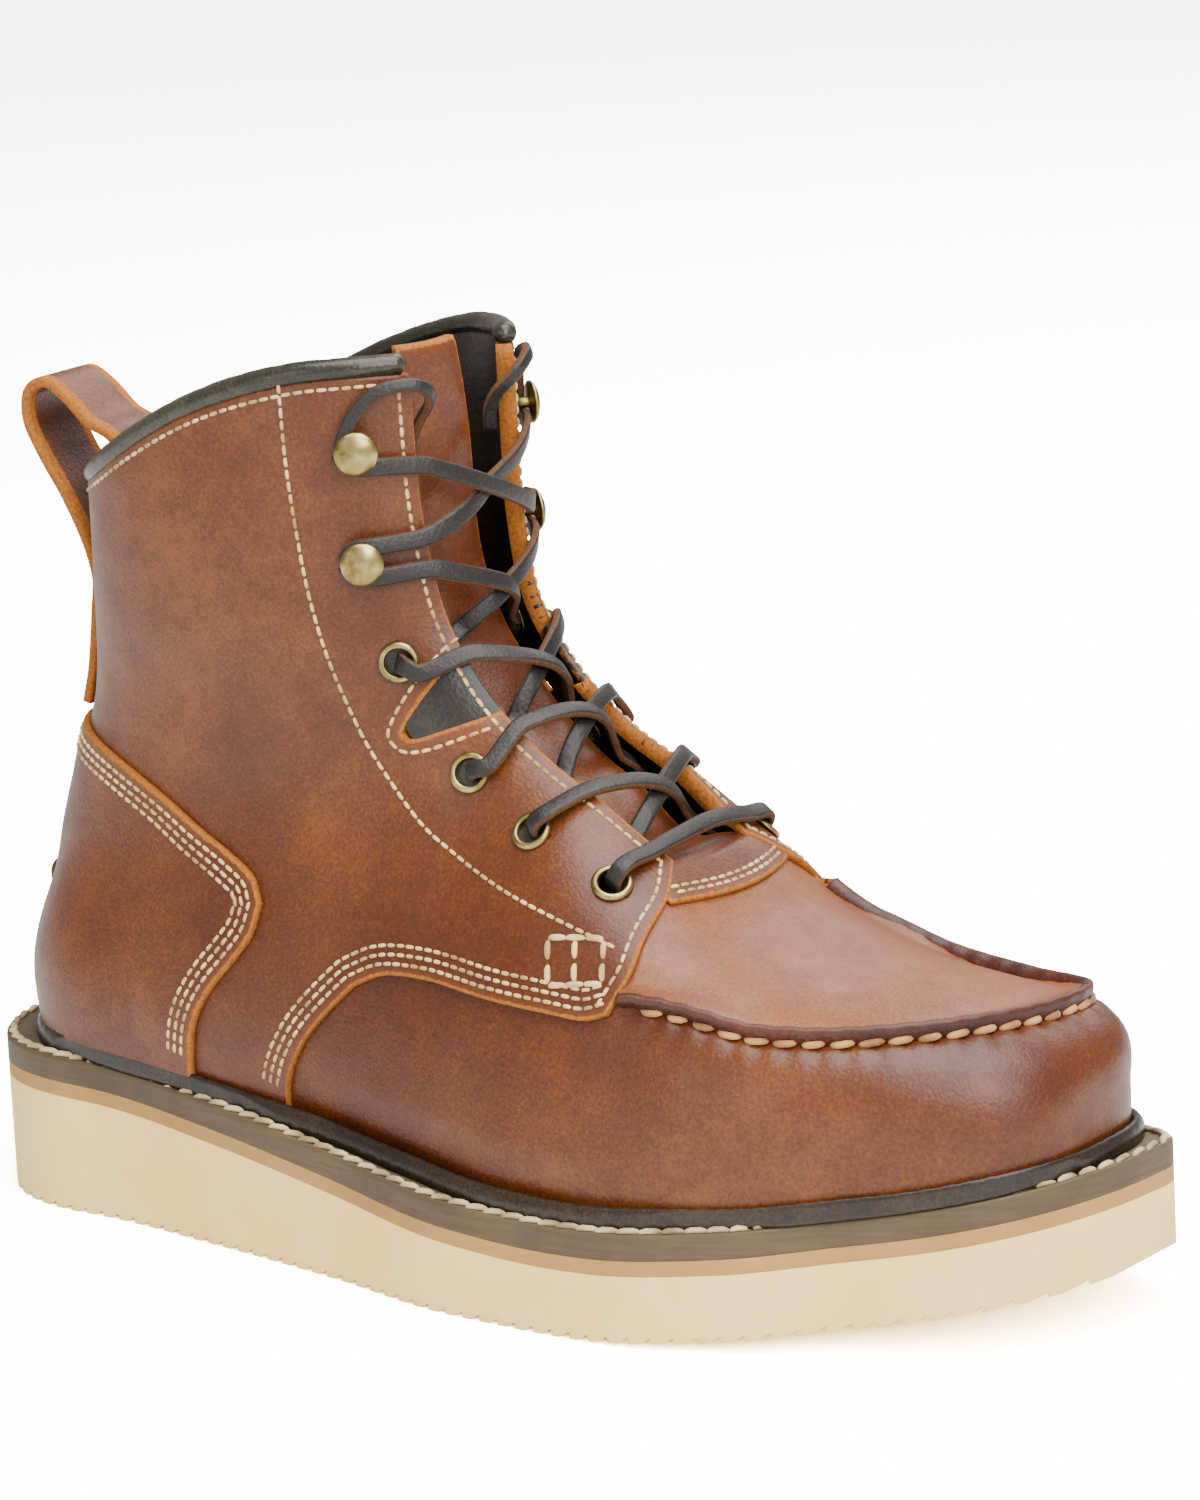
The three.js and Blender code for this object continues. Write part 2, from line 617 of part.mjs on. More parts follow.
// An eyelet's hole, with the leather pressed flat under both of its flanges
function eyeletCut(frame) {
  const hole = EYELET_HOLE / 2 + EYELET_BARREL + GAP;
  const flange = EYELET / 2 + GAP;
  const face = SEAT - GAP;
  const back = -WALL - SEAT + GAP;
  return solid(skin([
    [flange, -2.5 * WALL], [flange, back], [hole, back],
    [hole, face], [flange, face], [flange, WALL],
  ].map(([radius, h]) => around((a) => ringPoint(frame, radius, h, a)))));
}

// A bar swept along lifted spots on the leather, flat side down
function barSections(spots, width, thick) {
  const half = width / 2;
  const deep = thick / 2;
  const outline = [[-half, -deep], [-half, deep], [half, deep], [half, -deep]];
  return spots.map((spot, i) => {
    const before = spots[Math.max(i - 1, 0)];
    const after = spots[Math.min(i + 1, spots.length - 1)];
    const along = after.at.clone().sub(before.at).normalize();
    const level = after.base.clone().sub(before.base);
    const across = new THREE.Vector3().crossVectors(level, spot.out).normalize();
    const up = new THREE.Vector3().crossVectors(across, along).normalize();
    return outline.map(([a, b]) => spot.at.clone().addScaledVector(across, a).addScaledVector(up, b));
  });
}

// Where a straight way out of the boot, from a point inside it, meets the leather's face
function wayOut(from, way) {
  let low = 0;
  let high = INSTEP_RISE;
  for (let i = 0; i < 40; i += 1) {
    const middle = (low + high) / 2;
    const p = from.clone().addScaledVector(way, middle);
    if (form(p.x, p.y, p.z) < 0) low = middle;
    else high = middle;
  }
  return from.clone().addScaledVector(way, low);
}
const crown = (x, y) => wayOut(
  new THREE.Vector3(x, y, ledgeHeight(x) + CUP),
  new THREE.Vector3(0, 0, 1),
);

// Moc lip: the plug's edge stands up all along the seam
const LIP_STEPS = 24;
function lipSections() {
  const seam = new THREE.CatmullRomCurve3(MOC_SEAM.map(
    (row) => new THREE.Vector3(row.x * SOLE_LENGTH, row.y * BALL_WIDTH, 0),
  )).getSpacedPoints(LIP_STEPS).map((p) => crown(p.x, p.y));
  const half = LIP_WIDTH / 2;
  const root = -VAMP / 2;
  const outline = [
    [-half, root], [-half, 0.8 * LIP_HEIGHT], [0, LIP_HEIGHT],
    [half, 0.8 * LIP_HEIGHT], [half, root], [0, root],
  ];
  return seam.map((p, i) => {
    const along = seam[Math.min(i + 1, LIP_STEPS)].clone().sub(seam[Math.max(i - 1, 0)]);
    const out = outward(p);
    const across = new THREE.Vector3().crossVectors(along, out).normalize();
    return outline.map(([a, b]) => p.clone().addScaledVector(across, a)
      .addScaledVector(out, b - vampDrop(p.x)));
  });
}

const eyeletSpots = [-1, 1].flatMap((side) => EYELETS.map((row) => eyestaySpot(row, side)));
const hookSpots = [-1, 1].flatMap((side) => HOOKS.map((row) => eyestaySpot(row, side)));
const quarters = quarterWall.intersect(quarterBlock).subtract(notchBlock);
let upper = vampWall.add(quarters).add(solid(skin(lipSections())));
eyeletSpots.forEach((spot) => {
  upper = upper.subtract(eyeletCut(spot));
});
add('upper', geometryOf(upper), LEATHER, 0.5);

// Counter over the quarters at the heel, from the welt's bead up
const COUNTER_FOOT = HEEL_HEIGHT + BEAD_HEIGHT + 2 * GAP;
const counterBlock = sideBlock([
  { x: -SOLE_LENGTH, z: COUNTER_EDGE[0].z * INSTEP_RISE },
  ...COUNTER_EDGE.map(instepPoint),
  { x: COUNTER_EDGE[COUNTER_EDGE.length - 1].x * SOLE_LENGTH, z: COUNTER_FOOT },
  { x: -SOLE_LENGTH, z: COUNTER_FOOT },
]);
const counterWall = wall(() => 1.5 * GAP + COUNTER, () => 1.5 * GAP);
add('counter', geometryOf(counterWall.intersect(counterBlock)), LEATHER, 0.5);

// Storm welt: a bead that closes the corner between the upper and the ledge
const beadSections = ribs.map((points) => {
  const foot = points[0];
  const out = outward(foot).setZ(0).normalize();
  const high = onLeather(foot.clone().setZ(foot.z + BEAD_HEIGHT), true);
  const reach = Math.max(high.clone().sub(foot).dot(out), 0);
  const place = (away, up) => {
    const spot = foot.clone().addScaledVector(out, away);
    return spot.setZ(ledgeHeight(spot.x) + GAP + up);
  };
  return [
    place(GAP, 0),
    place(reach + BEAD_WIDTH, 0),
    place(reach + BEAD_WIDTH, 0.45 * BEAD_HEIGHT),
    place(reach + 0.75 * BEAD_WIDTH, 0.88 * BEAD_HEIGHT),
    place(reach + 0.4 * BEAD_WIDTH, BEAD_HEIGHT),
    place(reach + GAP, 0.8 * BEAD_HEIGHT),
  ];
});
add('storm_welt', skin(beadSections, true), DARK_LEATHER, 0.5);

// Insole on the midsole, clear of the wall
const insoleEdge = (height) => ribs.map((points) => {
  const [low, high] = [points[0], points[1]].map((p) => lifted(p, insideLift(p)));
  const edge = low.clone().lerp(high, height / (high.z - low.z));
  edge.addScaledVector(outward(points[0]).setZ(0).normalize(), -2 * GAP);
  return edge.setZ(ledgeHeight(edge.x) + GAP + height);
});
add('insole', skin([insoleEdge(0), insoleEdge(INSOLE)]), 0xb08a5e, 0.8);

// Rolled binding on the collar's edge, from corner to corner round the back
const collarRibs = [...ribs.slice(-COLLAR_RIBS), ...ribs.slice(0, COLLAR_RIBS + 1)];
const bindingSections = collarRibs.map((_, k) => {
  const middle = (n) => {
    const rim = collarRibs[Math.min(Math.max(n, 0), collarRibs.length - 1)][ROWS];
    return lifted(rim, -WALL / 2).setZ(rim.z + GAP + BINDING / 2);
  };
  const along = middle(k + 1).sub(middle(k - 1)).normalize();
  const across = new THREE.Vector3().crossVectors(along, new THREE.Vector3(0, 0, 1)).normalize();
  const up = new THREE.Vector3().crossVectors(across, along);
  return around((a) => middle(k).addScaledVector(across, (BINDING / 2) * Math.cos(a))
    .addScaledVector(up, (BINDING / 2) * Math.sin(a)), 6);
});
add('collar_binding', skin(bindingSections), 0x23241d, 0.35);

// A sheet that follows the throat: across runs from the outer to the inner edge
const TONGUE_DEPTH = WALL + LACE + SEAT + 6 * GAP;
const TONGUE_LINE = [
  { x: 0.464, z: 2.275, deep: 1.00, outer: 0.270, inner: 0.165 },
  { x: 0.466, z: 2.080, deep: 1.00, outer: 0.275, inner: 0.165 },
  { x: 0.468, z: 1.860, deep: 1.00, outer: 0.275, inner: 0.160 },
  { x: 0.474, z: 1.690, deep: 1.00, outer: 0.270, inner: 0.155 },
  { x: 0.487, z: 1.540, deep: 1.00, outer: 0.265, inner: 0.155 },
  { x: 0.510, z: 1.400, deep: 1.00, outer: 0.260, inner: 0.160 },
  { x: 0.542, z: 1.290, deep: 1.00, outer: 0.250, inner: 0.165 },
  { x: 0.572, z: 1.215, deep: 1.00, outer: 0.200, inner: 0.160 },
  { x: 0.596, z: 1.165, deep: 1.00, outer: 0.150, inner: 0.150 },
  { x: 0.616, z: 1.125, deep: 1.00, outer: 0.145, inner: 0.145 },
  { x: 0.632, z: 1.095, deep: 0.85, outer: 0.140, inner: 0.140 },
  { x: 0.649, z: 1.065, deep: 0.28, outer: 0.140, inner: 0.140 },
  { x: 0.664, z: 1.035, deep: 0.00, outer: 0.142, inner: 0.142 },
  { x: 0.679, z: 1.000, deep: 0.00, outer: 0.235, inner: 0.200 },
  { x: 0.690, z: 0.975, deep: 0.00, outer: 0.230, inner: 0.200 },
];
const throatSpot = (row, y) => onLeather(
  new THREE.Vector3(row.x * SOLE_LENGTH, y, row.z * INSTEP_RISE),
);
function throatSheet(rows, spans, thick) {
  return skin(rows.map((row) => {
    const outer = spans.map((span) => {
      const base = span.base(row);
      return { base, lift: span.lift(row, base) };
    });
    const face = outer.map((spot) => lifted(spot.base, spot.lift));
    const back = outer.map((spot) => lifted(spot.base, spot.lift - thick));
    return [...face, ...back.reverse()];
  }));
}
const tongueTop = (row, base) => mix(
  TONGUE + SEAT - vampDrop(base.x),
  -TONGUE_DEPTH,
  row.deep,
);
const tongueSpans = [0, 0.2, 0.4, 0.6, 0.8, 1].map((share) => ({
  base: (row) => throatSpot(row, mix(-row.outer, row.inner, share) * SHAFT_WIDTH),
  lift: tongueTop,
}));
add('tongue', throatSheet(TONGUE_LINE, tongueSpans, TONGUE), LEATHER, 0.5);

// Bellows gussets: from under the tongue's edge out to the inside of the quarter, on rays that
// fan out from a line inside the instep
const gussetRows = TONGUE_LINE.slice(1, 9);
const gussetFoot = -TONGUE_DEPTH - TONGUE - GAP;
const gussetEdge = -WALL - 2 * SEAT;
const GUSSET_FAN = [
  { degrees: 28, lift: gussetFoot },
  { degrees: 46, lift: gussetFoot },
  { degrees: 64, lift: gussetFoot },
  { degrees: 82, lift: mix(gussetFoot, gussetEdge, 0.3) },
  { degrees: 96, lift: gussetEdge },
];
const fanRay = (row, side, degrees) => {
  const spot = throatSpot(row, 0);
  const out = outward(spot).setY(0).normalize();
  const turn = THREE.MathUtils.degToRad(degrees);
  const way = new THREE.Vector3(0, side * Math.sin(turn), 0).addScaledVector(out, Math.cos(turn));
  return wayOut(spot.addScaledVector(out, -FORM_CORE), way);
};
[['gusset_outer', -1], ['gusset_inner', 1]].forEach(([name, side]) => {
  const spans = GUSSET_FAN.map(({ degrees, lift }) => ({
    base: (row) => fanRay(row, side, degrees),
    lift: () => lift,
  }));
  add(name, throatSheet(gussetRows, spans, GUSSET), DARK_LEATHER, 0.6);
});

// Pull loop: stitched up the shaft's back, out in a loop and down inside the collar
const backAt = (z) => onLeather(new THREE.Vector3(shaftBack((z - HEEL_HEIGHT) / SHAFT_RISE)
  * SOLE_LENGTH, 0, z), true).x;
const rimBack = ribs[0][ROWS];
const STRAP_FROM = COUNTER_EDGE[0].z * INSTEP_RISE + STRAP;
const STRAP_LEAVES = rimBack.z - 1.1 * LOOP_REACH;
const strapLine = [];
const STRAP_ROWS = 4;
for (let i = 0; i <= STRAP_ROWS; i += 1) {
  const z = mix(STRAP_FROM, STRAP_LEAVES, i / STRAP_ROWS);
  strapLine.push(new THREE.Vector3(backAt(z) - SEAT - STRAP / 2, 0, z));
}
LOOP.forEach((row) => strapLine.push(new THREE.Vector3(
  rimBack.x + row.along * LOOP_REACH,
  0,
  rimBack.z + row.up * LOOP_REACH,
)));
const strapCurve = new THREE.CatmullRomCurve3(strapLine);
const STRAP_STEPS = 24;
const strapPoints = strapCurve.getSpacedPoints(STRAP_STEPS);
add('pull_loop', skin(strapPoints.map((p, i) => {
  const along = strapCurve.getTangentAt(i / STRAP_STEPS);
  const out = new THREE.Vector3(-along.z, 0, along.x).multiplyScalar(STRAP / 2);
  const edge = new THREE.Vector3(0, STRAP_WIDTH / 2, 0);
  return [
    p.clone().add(out).sub(edge), p.clone().add(out).add(edge),
    p.clone().sub(out).add(edge), p.clone().sub(out).sub(edge),
  ];
})), LEATHER, 0.5);

// Kick lug: a small roll of leather low on the counter's back
const LUG = { width: 11, height: 8, proud: 4, z: 72 };
const lug = new THREE.SphereGeometry(0.5, 8, 6);
lug.scale(LUG.proud, LUG.width, LUG.height);
lug.translate(backAt(LUG.z) - SEAT - 2 * GAP - COUNTER - LUG.proud / 2, 0, LUG.z);
add('kick_lug', mergeVertices(lug.deleteAttribute('normal').deleteAttribute('uv')), LEATHER, 0.5);

// Eyelets and speed hooks
const sideName = (side) => (side < 0 ? 'outer' : 'inner');
eyeletSpots.forEach((spot, i) => {
  const hole = EYELET_HOLE / 2;
  const back = -WALL - SEAT;
  const face = SEAT + FLANGE;
  add(`eyelet_${sideName(spot.side)}_${(i % EYELETS.length) + 1}`, turned(spot, [
    [hole, face], [0.43 * EYELET, face], [EYELET / 2, SEAT],
    [hole + EYELET_BARREL, SEAT], [hole + EYELET_BARREL, back],
    [0.47 * EYELET, back], [0.47 * EYELET, back - FLANGE], [hole, back - FLANGE],
  ]), BRASS, 0.35, 1);
});
const POST = 1.3;
hookSpots.forEach((spot, i) => {
  const base = SEAT + FLANGE;
  const cap = base + HOOK_STANDOFF;
  const profile = [
    [0, SEAT], [0.42 * HOOK_CAP, SEAT], [0.4 * HOOK_CAP, base], [POST, base],
    [POST, cap], [0.5 * HOOK_CAP, cap], [0.47 * HOOK_CAP, cap + 0.07 * HOOK_CAP],
    [0.3 * HOOK_CAP, cap + 0.16 * HOOK_CAP], [0, cap + 0.2 * HOOK_CAP],
  ].map(([r, h]) => new THREE.Vector2(r, h));
  const hook = new THREE.LatheGeometry(profile, ROUND);
  hook.deleteAttribute('normal');
  hook.deleteAttribute('uv');
  const turn = new THREE.Matrix4().makeBasis(
    new THREE.Vector3().crossVectors(spot.out, spot.up), spot.out, spot.up,
  );
  hook.applyMatrix4(turn.setPosition(spot.at));
  add(
    `hook_${sideName(spot.side)}_${(i % HOOKS.length) + 1}`,
    facingOut(mergeVertices(hook, 1e-4)), BRASS, 0.35, 1,
  );
});

// Lace: each crossing of the throat is one joined solid
const laceLift = {
  tucked: -WALL - SEAT - 3 * GAP - LACE / 2,
  onEdge: SEAT + GAP + LACE / 2,
  overFlange: SEAT + FLANGE + GAP + LACE / 2,
  underCap: SEAT + FLANGE + HOOK_STANDOFF / 2,
};
const towards = (spot, other) => {
  const way = other.at.clone().sub(spot.at);
  return way.addScaledVector(spot.out, -way.dot(spot.out)).normalize();
};
function lacePoint(from, to, share, lift) {
  const way = from.out.clone().add(to.out).normalize();
  const base = wayOut(from.at.clone().lerp(to.at, share), way);
  const out = outward(base);
  return { base, out, at: base.clone().addScaledVector(out, lift) };
}
const besideSpot = (spot, way, reach, lift) => {
  const base = spot.at.clone().addScaledVector(way, reach);
  return { base, out: spot.out, at: base.clone().addScaledVector(spot.out, lift) };
};
// How the lace meets an eyelet from above, leaves one from below, or rounds a hook's post
const POST_WRAP = [[-0.35, 0.05], [-0.32, 0.16], [-0.15, 0.31], [0.2, 0.35]];
const INTO_HOLE = [
  { reach: 0, lift: -0.4 * WALL },
  { reach: 0.07 * EYELET, lift: 0.68 * LACE },
  { reach: 0.24 * EYELET, lift: laceLift.overFlange },
  { reach: 0.52 * EYELET, lift: laceLift.overFlange },
];
const meets = {
  tucked: (spot, other) => [
    besideSpot(spot, towards(spot, other), 0.57 * EYELET, laceLift.tucked),
  ],
  into: (spot, other) => INTO_HOLE.map(
    ({ reach, lift }) => besideSpot(spot, towards(spot, other), reach, lift),
  ),
  hook: (spot, other, above) => POST_WRAP.map(([front, up]) => {
    const base = spot.at.clone().addScaledVector(spot.front, front * HOOK_CAP)
      .addScaledVector(spot.up, (above ? up : -up) * HOOK_CAP);
    return { base, out: spot.out, at: base.clone().addScaledVector(spot.out, laceLift.underCap) };
  }),
};
// Stations of a crossing between its two ends, from one eyestay over the tongue to the other
const LACE_RISE = [
  { at: 0.18, tucked: 1.00, flat: 0.0 },
  { at: 0.25, tucked: 1.00, flat: 0.1 },
  { at: 0.33, tucked: 0.70, flat: 0.3 },
  { at: 0.41, tucked: 0.32, flat: 0.7 },
  { at: 0.50, tucked: 0.08, flat: 1.0 },
  { at: 0.59, tucked: 0.00, flat: 0.7 },
  { at: 0.67, tucked: 0.00, flat: 0.3 },
  { at: 0.75, tucked: 0.00, flat: 0.1 },
  { at: 0.82, tucked: 0.00, flat: 0.0 },
];
function laceBar(from, to, starts, ends, middle) {
  const low = starts === 'tucked' ? laceLift.tucked : laceLift.onEdge;
  return [
    ...meets[starts](from, to, true),
    ...LACE_RISE.map((row) => lacePoint(
      from,
      to,
      row.at,
      mix(mix(laceLift.onEdge, middle, row.flat), low, row.tucked),
    )),
    ...meets[ends](to, from, false).reverse(),
  ];
}
const barSolid = (spots) => solid(skin(barSections(spots, LACE_WIDTH, LACE)));
const rows = EYELETS.length;
const laceStops = [-1, 1].map((side) => [
  ...eyeletSpots.filter((spot) => spot.side === side),
  ...hookSpots.filter((spot) => spot.side === side),
]);
add('lace_bottom_bar', skin(barSections(
  laceBar(laceStops[0][0], laceStops[1][0], 'into', 'into', laceLift.onEdge + TONGUE / 2),
  LACE_WIDTH,
  LACE,
)), DARK_LEATHER, 0.6);
for (let i = 1; i < laceStops[0].length; i += 1) {
  const starts = i <= rows ? 'tucked' : 'hook';
  const ends = i < rows ? 'into' : 'hook';
  const [outer, inner] = laceStops;
  const sunk = laceLift.onEdge - 0.64 * LACE;
  const under = barSolid(laceBar(outer[i - 1], inner[i], starts, ends, sunk));
  const over = barSolid(laceBar(inner[i - 1], outer[i], starts, ends, laceLift.onEdge));
  add(`lace_crossing_${i}`, geometryOf(under.add(over)), DARK_LEATHER, 0.6);
}

// Lace ends: from under the top hook's cap, up in a small arc, over the eyestay's edge and down
// behind it. The points are for the outer side, and the inner side mirrors them.
const LACE_END = 2.8;
const LACE_END_STEPS = 11;
const LACE_END_POINTS = [
  [127.5, -33.5, 189.6], [127.7, -33.4, 191.2], [128.5, -32.6, 193.8], [129.7, -31.2, 197.0],
  [132.0, -29.1, 200.4], [133.5, -27.8, 201.7], [135.2, -26.4, 202.6], [138.4, -23.4, 203.3],
  [139.7, -21.8, 203.1], [140.7, -20.2, 202.6], [140.9, -17.2, 200.6], [139.0, -15.0, 197.6],
  [137.5, -14.3, 196.1], [136.0, -14.0, 194.4], [133.8, -14.2, 190.4], [133.0, -15.2, 186.0],
];
[-1, 1].forEach((side) => {
  const curve = new THREE.CatmullRomCurve3(LACE_END_POINTS.map(
    ([x, y, z]) => new THREE.Vector3(x, -side * y, z),
  ));
  const { normals, binormals } = curve.computeFrenetFrames(LACE_END_STEPS);
  const sections = curve.getSpacedPoints(LACE_END_STEPS).map((p, i) => around((angle) => p.clone()
    .addScaledVector(normals[i], (LACE_END / 2) * Math.cos(angle))
    .addScaledVector(binormals[i], (LACE_END / 2) * Math.sin(angle))));
  add(`lace_end_${sideName(side)}`, skin(sections), DARK_LEATHER, 0.6);
});

const asBuilt = new THREE.Box3().setFromObject(boot);
boot.position.set(-(asBuilt.min.x + asBuilt.max.x) / 2, -(asBuilt.min.y + asBuilt.max.y) / 2, -asBuilt.min.z);
const model = new THREE.Group();
model.add(boot);
export default model;
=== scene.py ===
# %% [markdown]
# This script dresses a packed moc toe work boot, a right shoe, in real leather, rubber, thread and
# brass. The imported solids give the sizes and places. On the real boot every leather part is cut flat,
# pulled over a wooden last and sewn, so the script does the same: one formula is the last, and every
# panel, seam and stitch is laid on it.

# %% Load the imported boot
import math

import bmesh
import bpy
import numpy as np
from mathutils import Matrix, Vector


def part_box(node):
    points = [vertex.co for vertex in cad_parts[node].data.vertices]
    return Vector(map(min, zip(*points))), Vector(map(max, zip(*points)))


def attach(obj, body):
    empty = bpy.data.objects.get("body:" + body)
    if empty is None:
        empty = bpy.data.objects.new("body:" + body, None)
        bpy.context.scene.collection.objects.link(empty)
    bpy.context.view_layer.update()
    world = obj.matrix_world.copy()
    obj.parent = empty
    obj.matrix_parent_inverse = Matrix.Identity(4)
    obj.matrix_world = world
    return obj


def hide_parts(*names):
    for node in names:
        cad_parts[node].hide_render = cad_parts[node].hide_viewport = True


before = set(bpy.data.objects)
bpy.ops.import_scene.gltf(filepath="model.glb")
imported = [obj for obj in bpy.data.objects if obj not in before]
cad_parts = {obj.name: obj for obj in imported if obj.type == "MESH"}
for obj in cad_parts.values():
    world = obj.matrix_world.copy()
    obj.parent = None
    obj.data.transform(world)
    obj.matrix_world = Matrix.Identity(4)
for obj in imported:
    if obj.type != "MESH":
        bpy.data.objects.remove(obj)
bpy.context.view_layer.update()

# %% [markdown]
# Shoemakers measure in millimetres from the heel's back, so the tables below do too: x runs to the
# toe, y to the big toe side, z up from the floor. The boot's own frame has its origin under the
# middle of the boot, in metres. One shift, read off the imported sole, joins the two.

# %% Sizes in millimetres
SOLE_LENGTH = 306.0
BALL_WIDTH = 111.0
HEEL_HEIGHT = 37.7
FOREPART_HEIGHT = 25.0
TOE_SPRING = 13.3
MIDSOLE = 6.0
STRIP = 3.5
VAMP = 2.4
QUARTER = 1.6
COUNTER = 1.6
INSTEP_RISE = 94.0
SHAFT_RISE = 174.0
SHAFT_LENGTH = 107.0
SHAFT_WIDTH = 79.0
WALL = VAMP + QUARTER
SEAT = 0.7
GAP = 0.3
LACE_WIDTH, LACE_THICK = 4.2, 2.5


def follow(places, values):
    """A smooth line through a table that never overshoots it."""
    xs, ys = np.asarray(places, float), np.asarray(values, float)
    steps = np.diff(xs)
    slopes = np.diff(ys) / steps
    before, after = slopes[:-1], slopes[1:]
    agree = before * after > 0
    inner = np.where(agree, 2 * before * after / np.where(agree, before + after, 1), 0)
    tangents = np.concatenate([slopes[:1], inner, slopes[-1:]])

    def at(x):
        x = np.clip(x, xs[0], xs[-1])
        i = np.clip(np.searchsorted(xs, x) - 1, 0, len(xs) - 2)
        t = (x - xs[i]) / steps[i]
        bend = t * (1 - t) ** 2 * tangents[i] + t * t * (t - 1) * tangents[i + 1]
        return ys[i] + (ys[i + 1] - ys[i]) * (3 - 2 * t) * t * t + steps[i] * bend
    return at


def ease(t):
    t = np.clip(t, 0, 1)
    return t * t * (3 - 2 * t)


SOLE_PLAN = np.array([
    # where, outer half width, inner half width
    [0.000, 0.347, 0.338], [0.137, 0.338, 0.342], [0.278, 0.389, 0.324],
    [0.408, 0.455, 0.311], [0.539, 0.536, 0.360], [0.670, 0.551, 0.450],
    [0.768, 0.485, 0.473], [0.856, 0.365, 0.432], [1.000, 0.306, 0.360],
])
HEEL_ROUND, TOE_ROUND, TOE_SWING = 42.0, 60.0, 17.0
PLAN_HALF = {side: follow(SOLE_PLAN[:, 0], SOLE_PLAN[:, column]) for side, column in ((-1, 1), (1, 2))}


def tread_height(x):
    t = np.maximum(0, (x - 0.585 * SOLE_LENGTH) / (0.415 * SOLE_LENGTH))
    return TOE_SPRING * t * t


def ledge_height(x):
    slope = ease((x / SOLE_LENGTH - 0.085) / (0.647 - 0.085))
    return HEEL_HEIGHT + (FOREPART_HEIGHT - HEEL_HEIGHT) * slope + tread_height(x)


def sole_edge(x, side):
    x = np.asarray(x, float)
    toe_start = SOLE_LENGTH - TOE_ROUND
    toe = np.clip((x - toe_start) / TOE_ROUND, 0, 1)
    heel = np.clip((HEEL_ROUND - x) / HEEL_ROUND, 0, 1)
    middle = TOE_SWING * toe
    half = PLAN_HALF[side](x / SOLE_LENGTH) * BALL_WIDTH
    reach = np.where(toe > 0, np.abs(side * half - middle), half)
    round_heel = (1 - heel ** 2.2) ** (1 / 2.2)
    round_toe = np.maximum(0, 1 - toe ** 2.25) ** (1 / 2.25)
    return middle + side * reach * round_heel * round_toe


sole_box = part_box("outsole")
plan_x = np.linspace(0, SOLE_LENGTH, 1201)
SHIFT = np.array([
    sole_box[0].x * 1000,
    sole_box[0].y * 1000 - sole_edge(plan_x, -1).min(),
    0.0,
])
print("shift from the heel's back to the packed frame, mm", SHIFT.round(2))

# %% [markdown]
# The photo was taken from the outer side with a long lens about a metre and a half away, a little
# above the boot and a touch tilted. A long lens keeps the two ends of the boot nearly to one scale.

# %% Camera
AZIMUTH, ELEVATION, TILT = math.radians(36.32), math.radians(13.46), math.radians(-2.93)
CAMERA_DISTANCE = 1.5646
LENS = 164.1
back = Vector((
    math.sin(AZIMUTH) * math.cos(ELEVATION),
    -math.cos(AZIMUTH) * math.cos(ELEVATION),
    math.sin(ELEVATION),
))
level = Vector((math.cos(AZIMUTH), math.sin(AZIMUTH), 0))
upright = back.cross(level)
aim = (Vector((150, 0, 85)) + Vector(SHIFT)) / 1000 + level * 0.01657 + upright * 0.02917
right = level * math.cos(TILT) + upright * math.sin(TILT)
up = upright * math.cos(TILT) - level * math.sin(TILT)
camera_data = bpy.data.cameras.new("camera")
camera_data.lens, camera_data.sensor_width = LENS, 36
camera_data.shift_y = -0.0013
camera = bpy.data.objects.new("camera", camera_data)
turn = Matrix((right, up, back)).transposed().to_4x4()
camera.matrix_world = Matrix.Translation(aim + back * CAMERA_DISTANCE) @ turn
bpy.context.scene.collection.objects.link(camera)
bpy.context.scene.camera = camera
print("camera stands", [round(v, 3) for v in camera.location], "m from the origin")

# %% [markdown]
# Colours are picked as sRGB hex values, the way a swatch book lists them. The shader wants linear
# light, so one function turns them. Another adds a node with its settings and links.

# %% Colour and node helpers
def shade(hex_code, strength=1.0):
    parts = [int(hex_code[i:i + 2], 16) / 255 for i in (1, 3, 5)]
    linear = [((v + 0.055) / 1.055) ** 2.4 if v > 0.04045 else v / 12.92 for v in parts]
    return (*[v * strength for v in linear], 1.0)


def put(tree, kind, settings=None, stops=(), **sockets):
    """Adds one node. A socket goes by its name, with _ for a space, or by its number, as i0."""
    made = tree.nodes.new("ShaderNode" + kind)
    for key, value in (settings or {}).items():
        setattr(made, key, value)
    for i, (place, colour) in enumerate(stops):
        line = made.color_ramp.elements
        stop = line[i] if i < 2 else line.new(place)
        stop.position, stop.color = place, colour
    for key, value in sockets.items():
        numbered = key[0] == "i" and key[1:].isdigit()
        socket = made.inputs[int(key[1:])] if numbered else made.inputs[key.replace("_", " ")]
        if isinstance(value, bpy.types.NodeSocket):
            tree.links.new(value, socket)
        else:
            socket.default_value = value
    return made


def empty_material(name):
    material = bpy.data.materials.new(name)
    material.use_nodes = True
    tree = material.node_tree
    tree.nodes.clear()
    where = put(tree, "TexCoord").outputs["Object"]
    return material, tree, where


def close_material(tree, shader):
    put(tree, "OutputMaterial", Surface=shader.outputs[0])


def per_metre(size_mm):
    """Texture scale for a pattern whose features are that many millimetres apart."""
    return 1000.0 / size_mm


print("1 mm of pattern is a texture scale of", per_metre(1))

# %% [markdown]
# The upper is oiled pull-up leather: cowhide tanned with oils and waxes that move under the finger,
# so it is reddish brown where it lies still and goes pale orange where it is bent or rubbed, at edges
# and seams. The eye sees three scales: clouds some five centimetres wide, blotches of some millimetres
# and a fine pore grain. Real pores lie about half a millimetre apart, and they are drawn nearly twice
# as coarse, so that they show. A mark called edge, stored on each panel, holds the distance to the cut
# edge, where the undyed flesh of the hide shows as a fuzzy orange line.

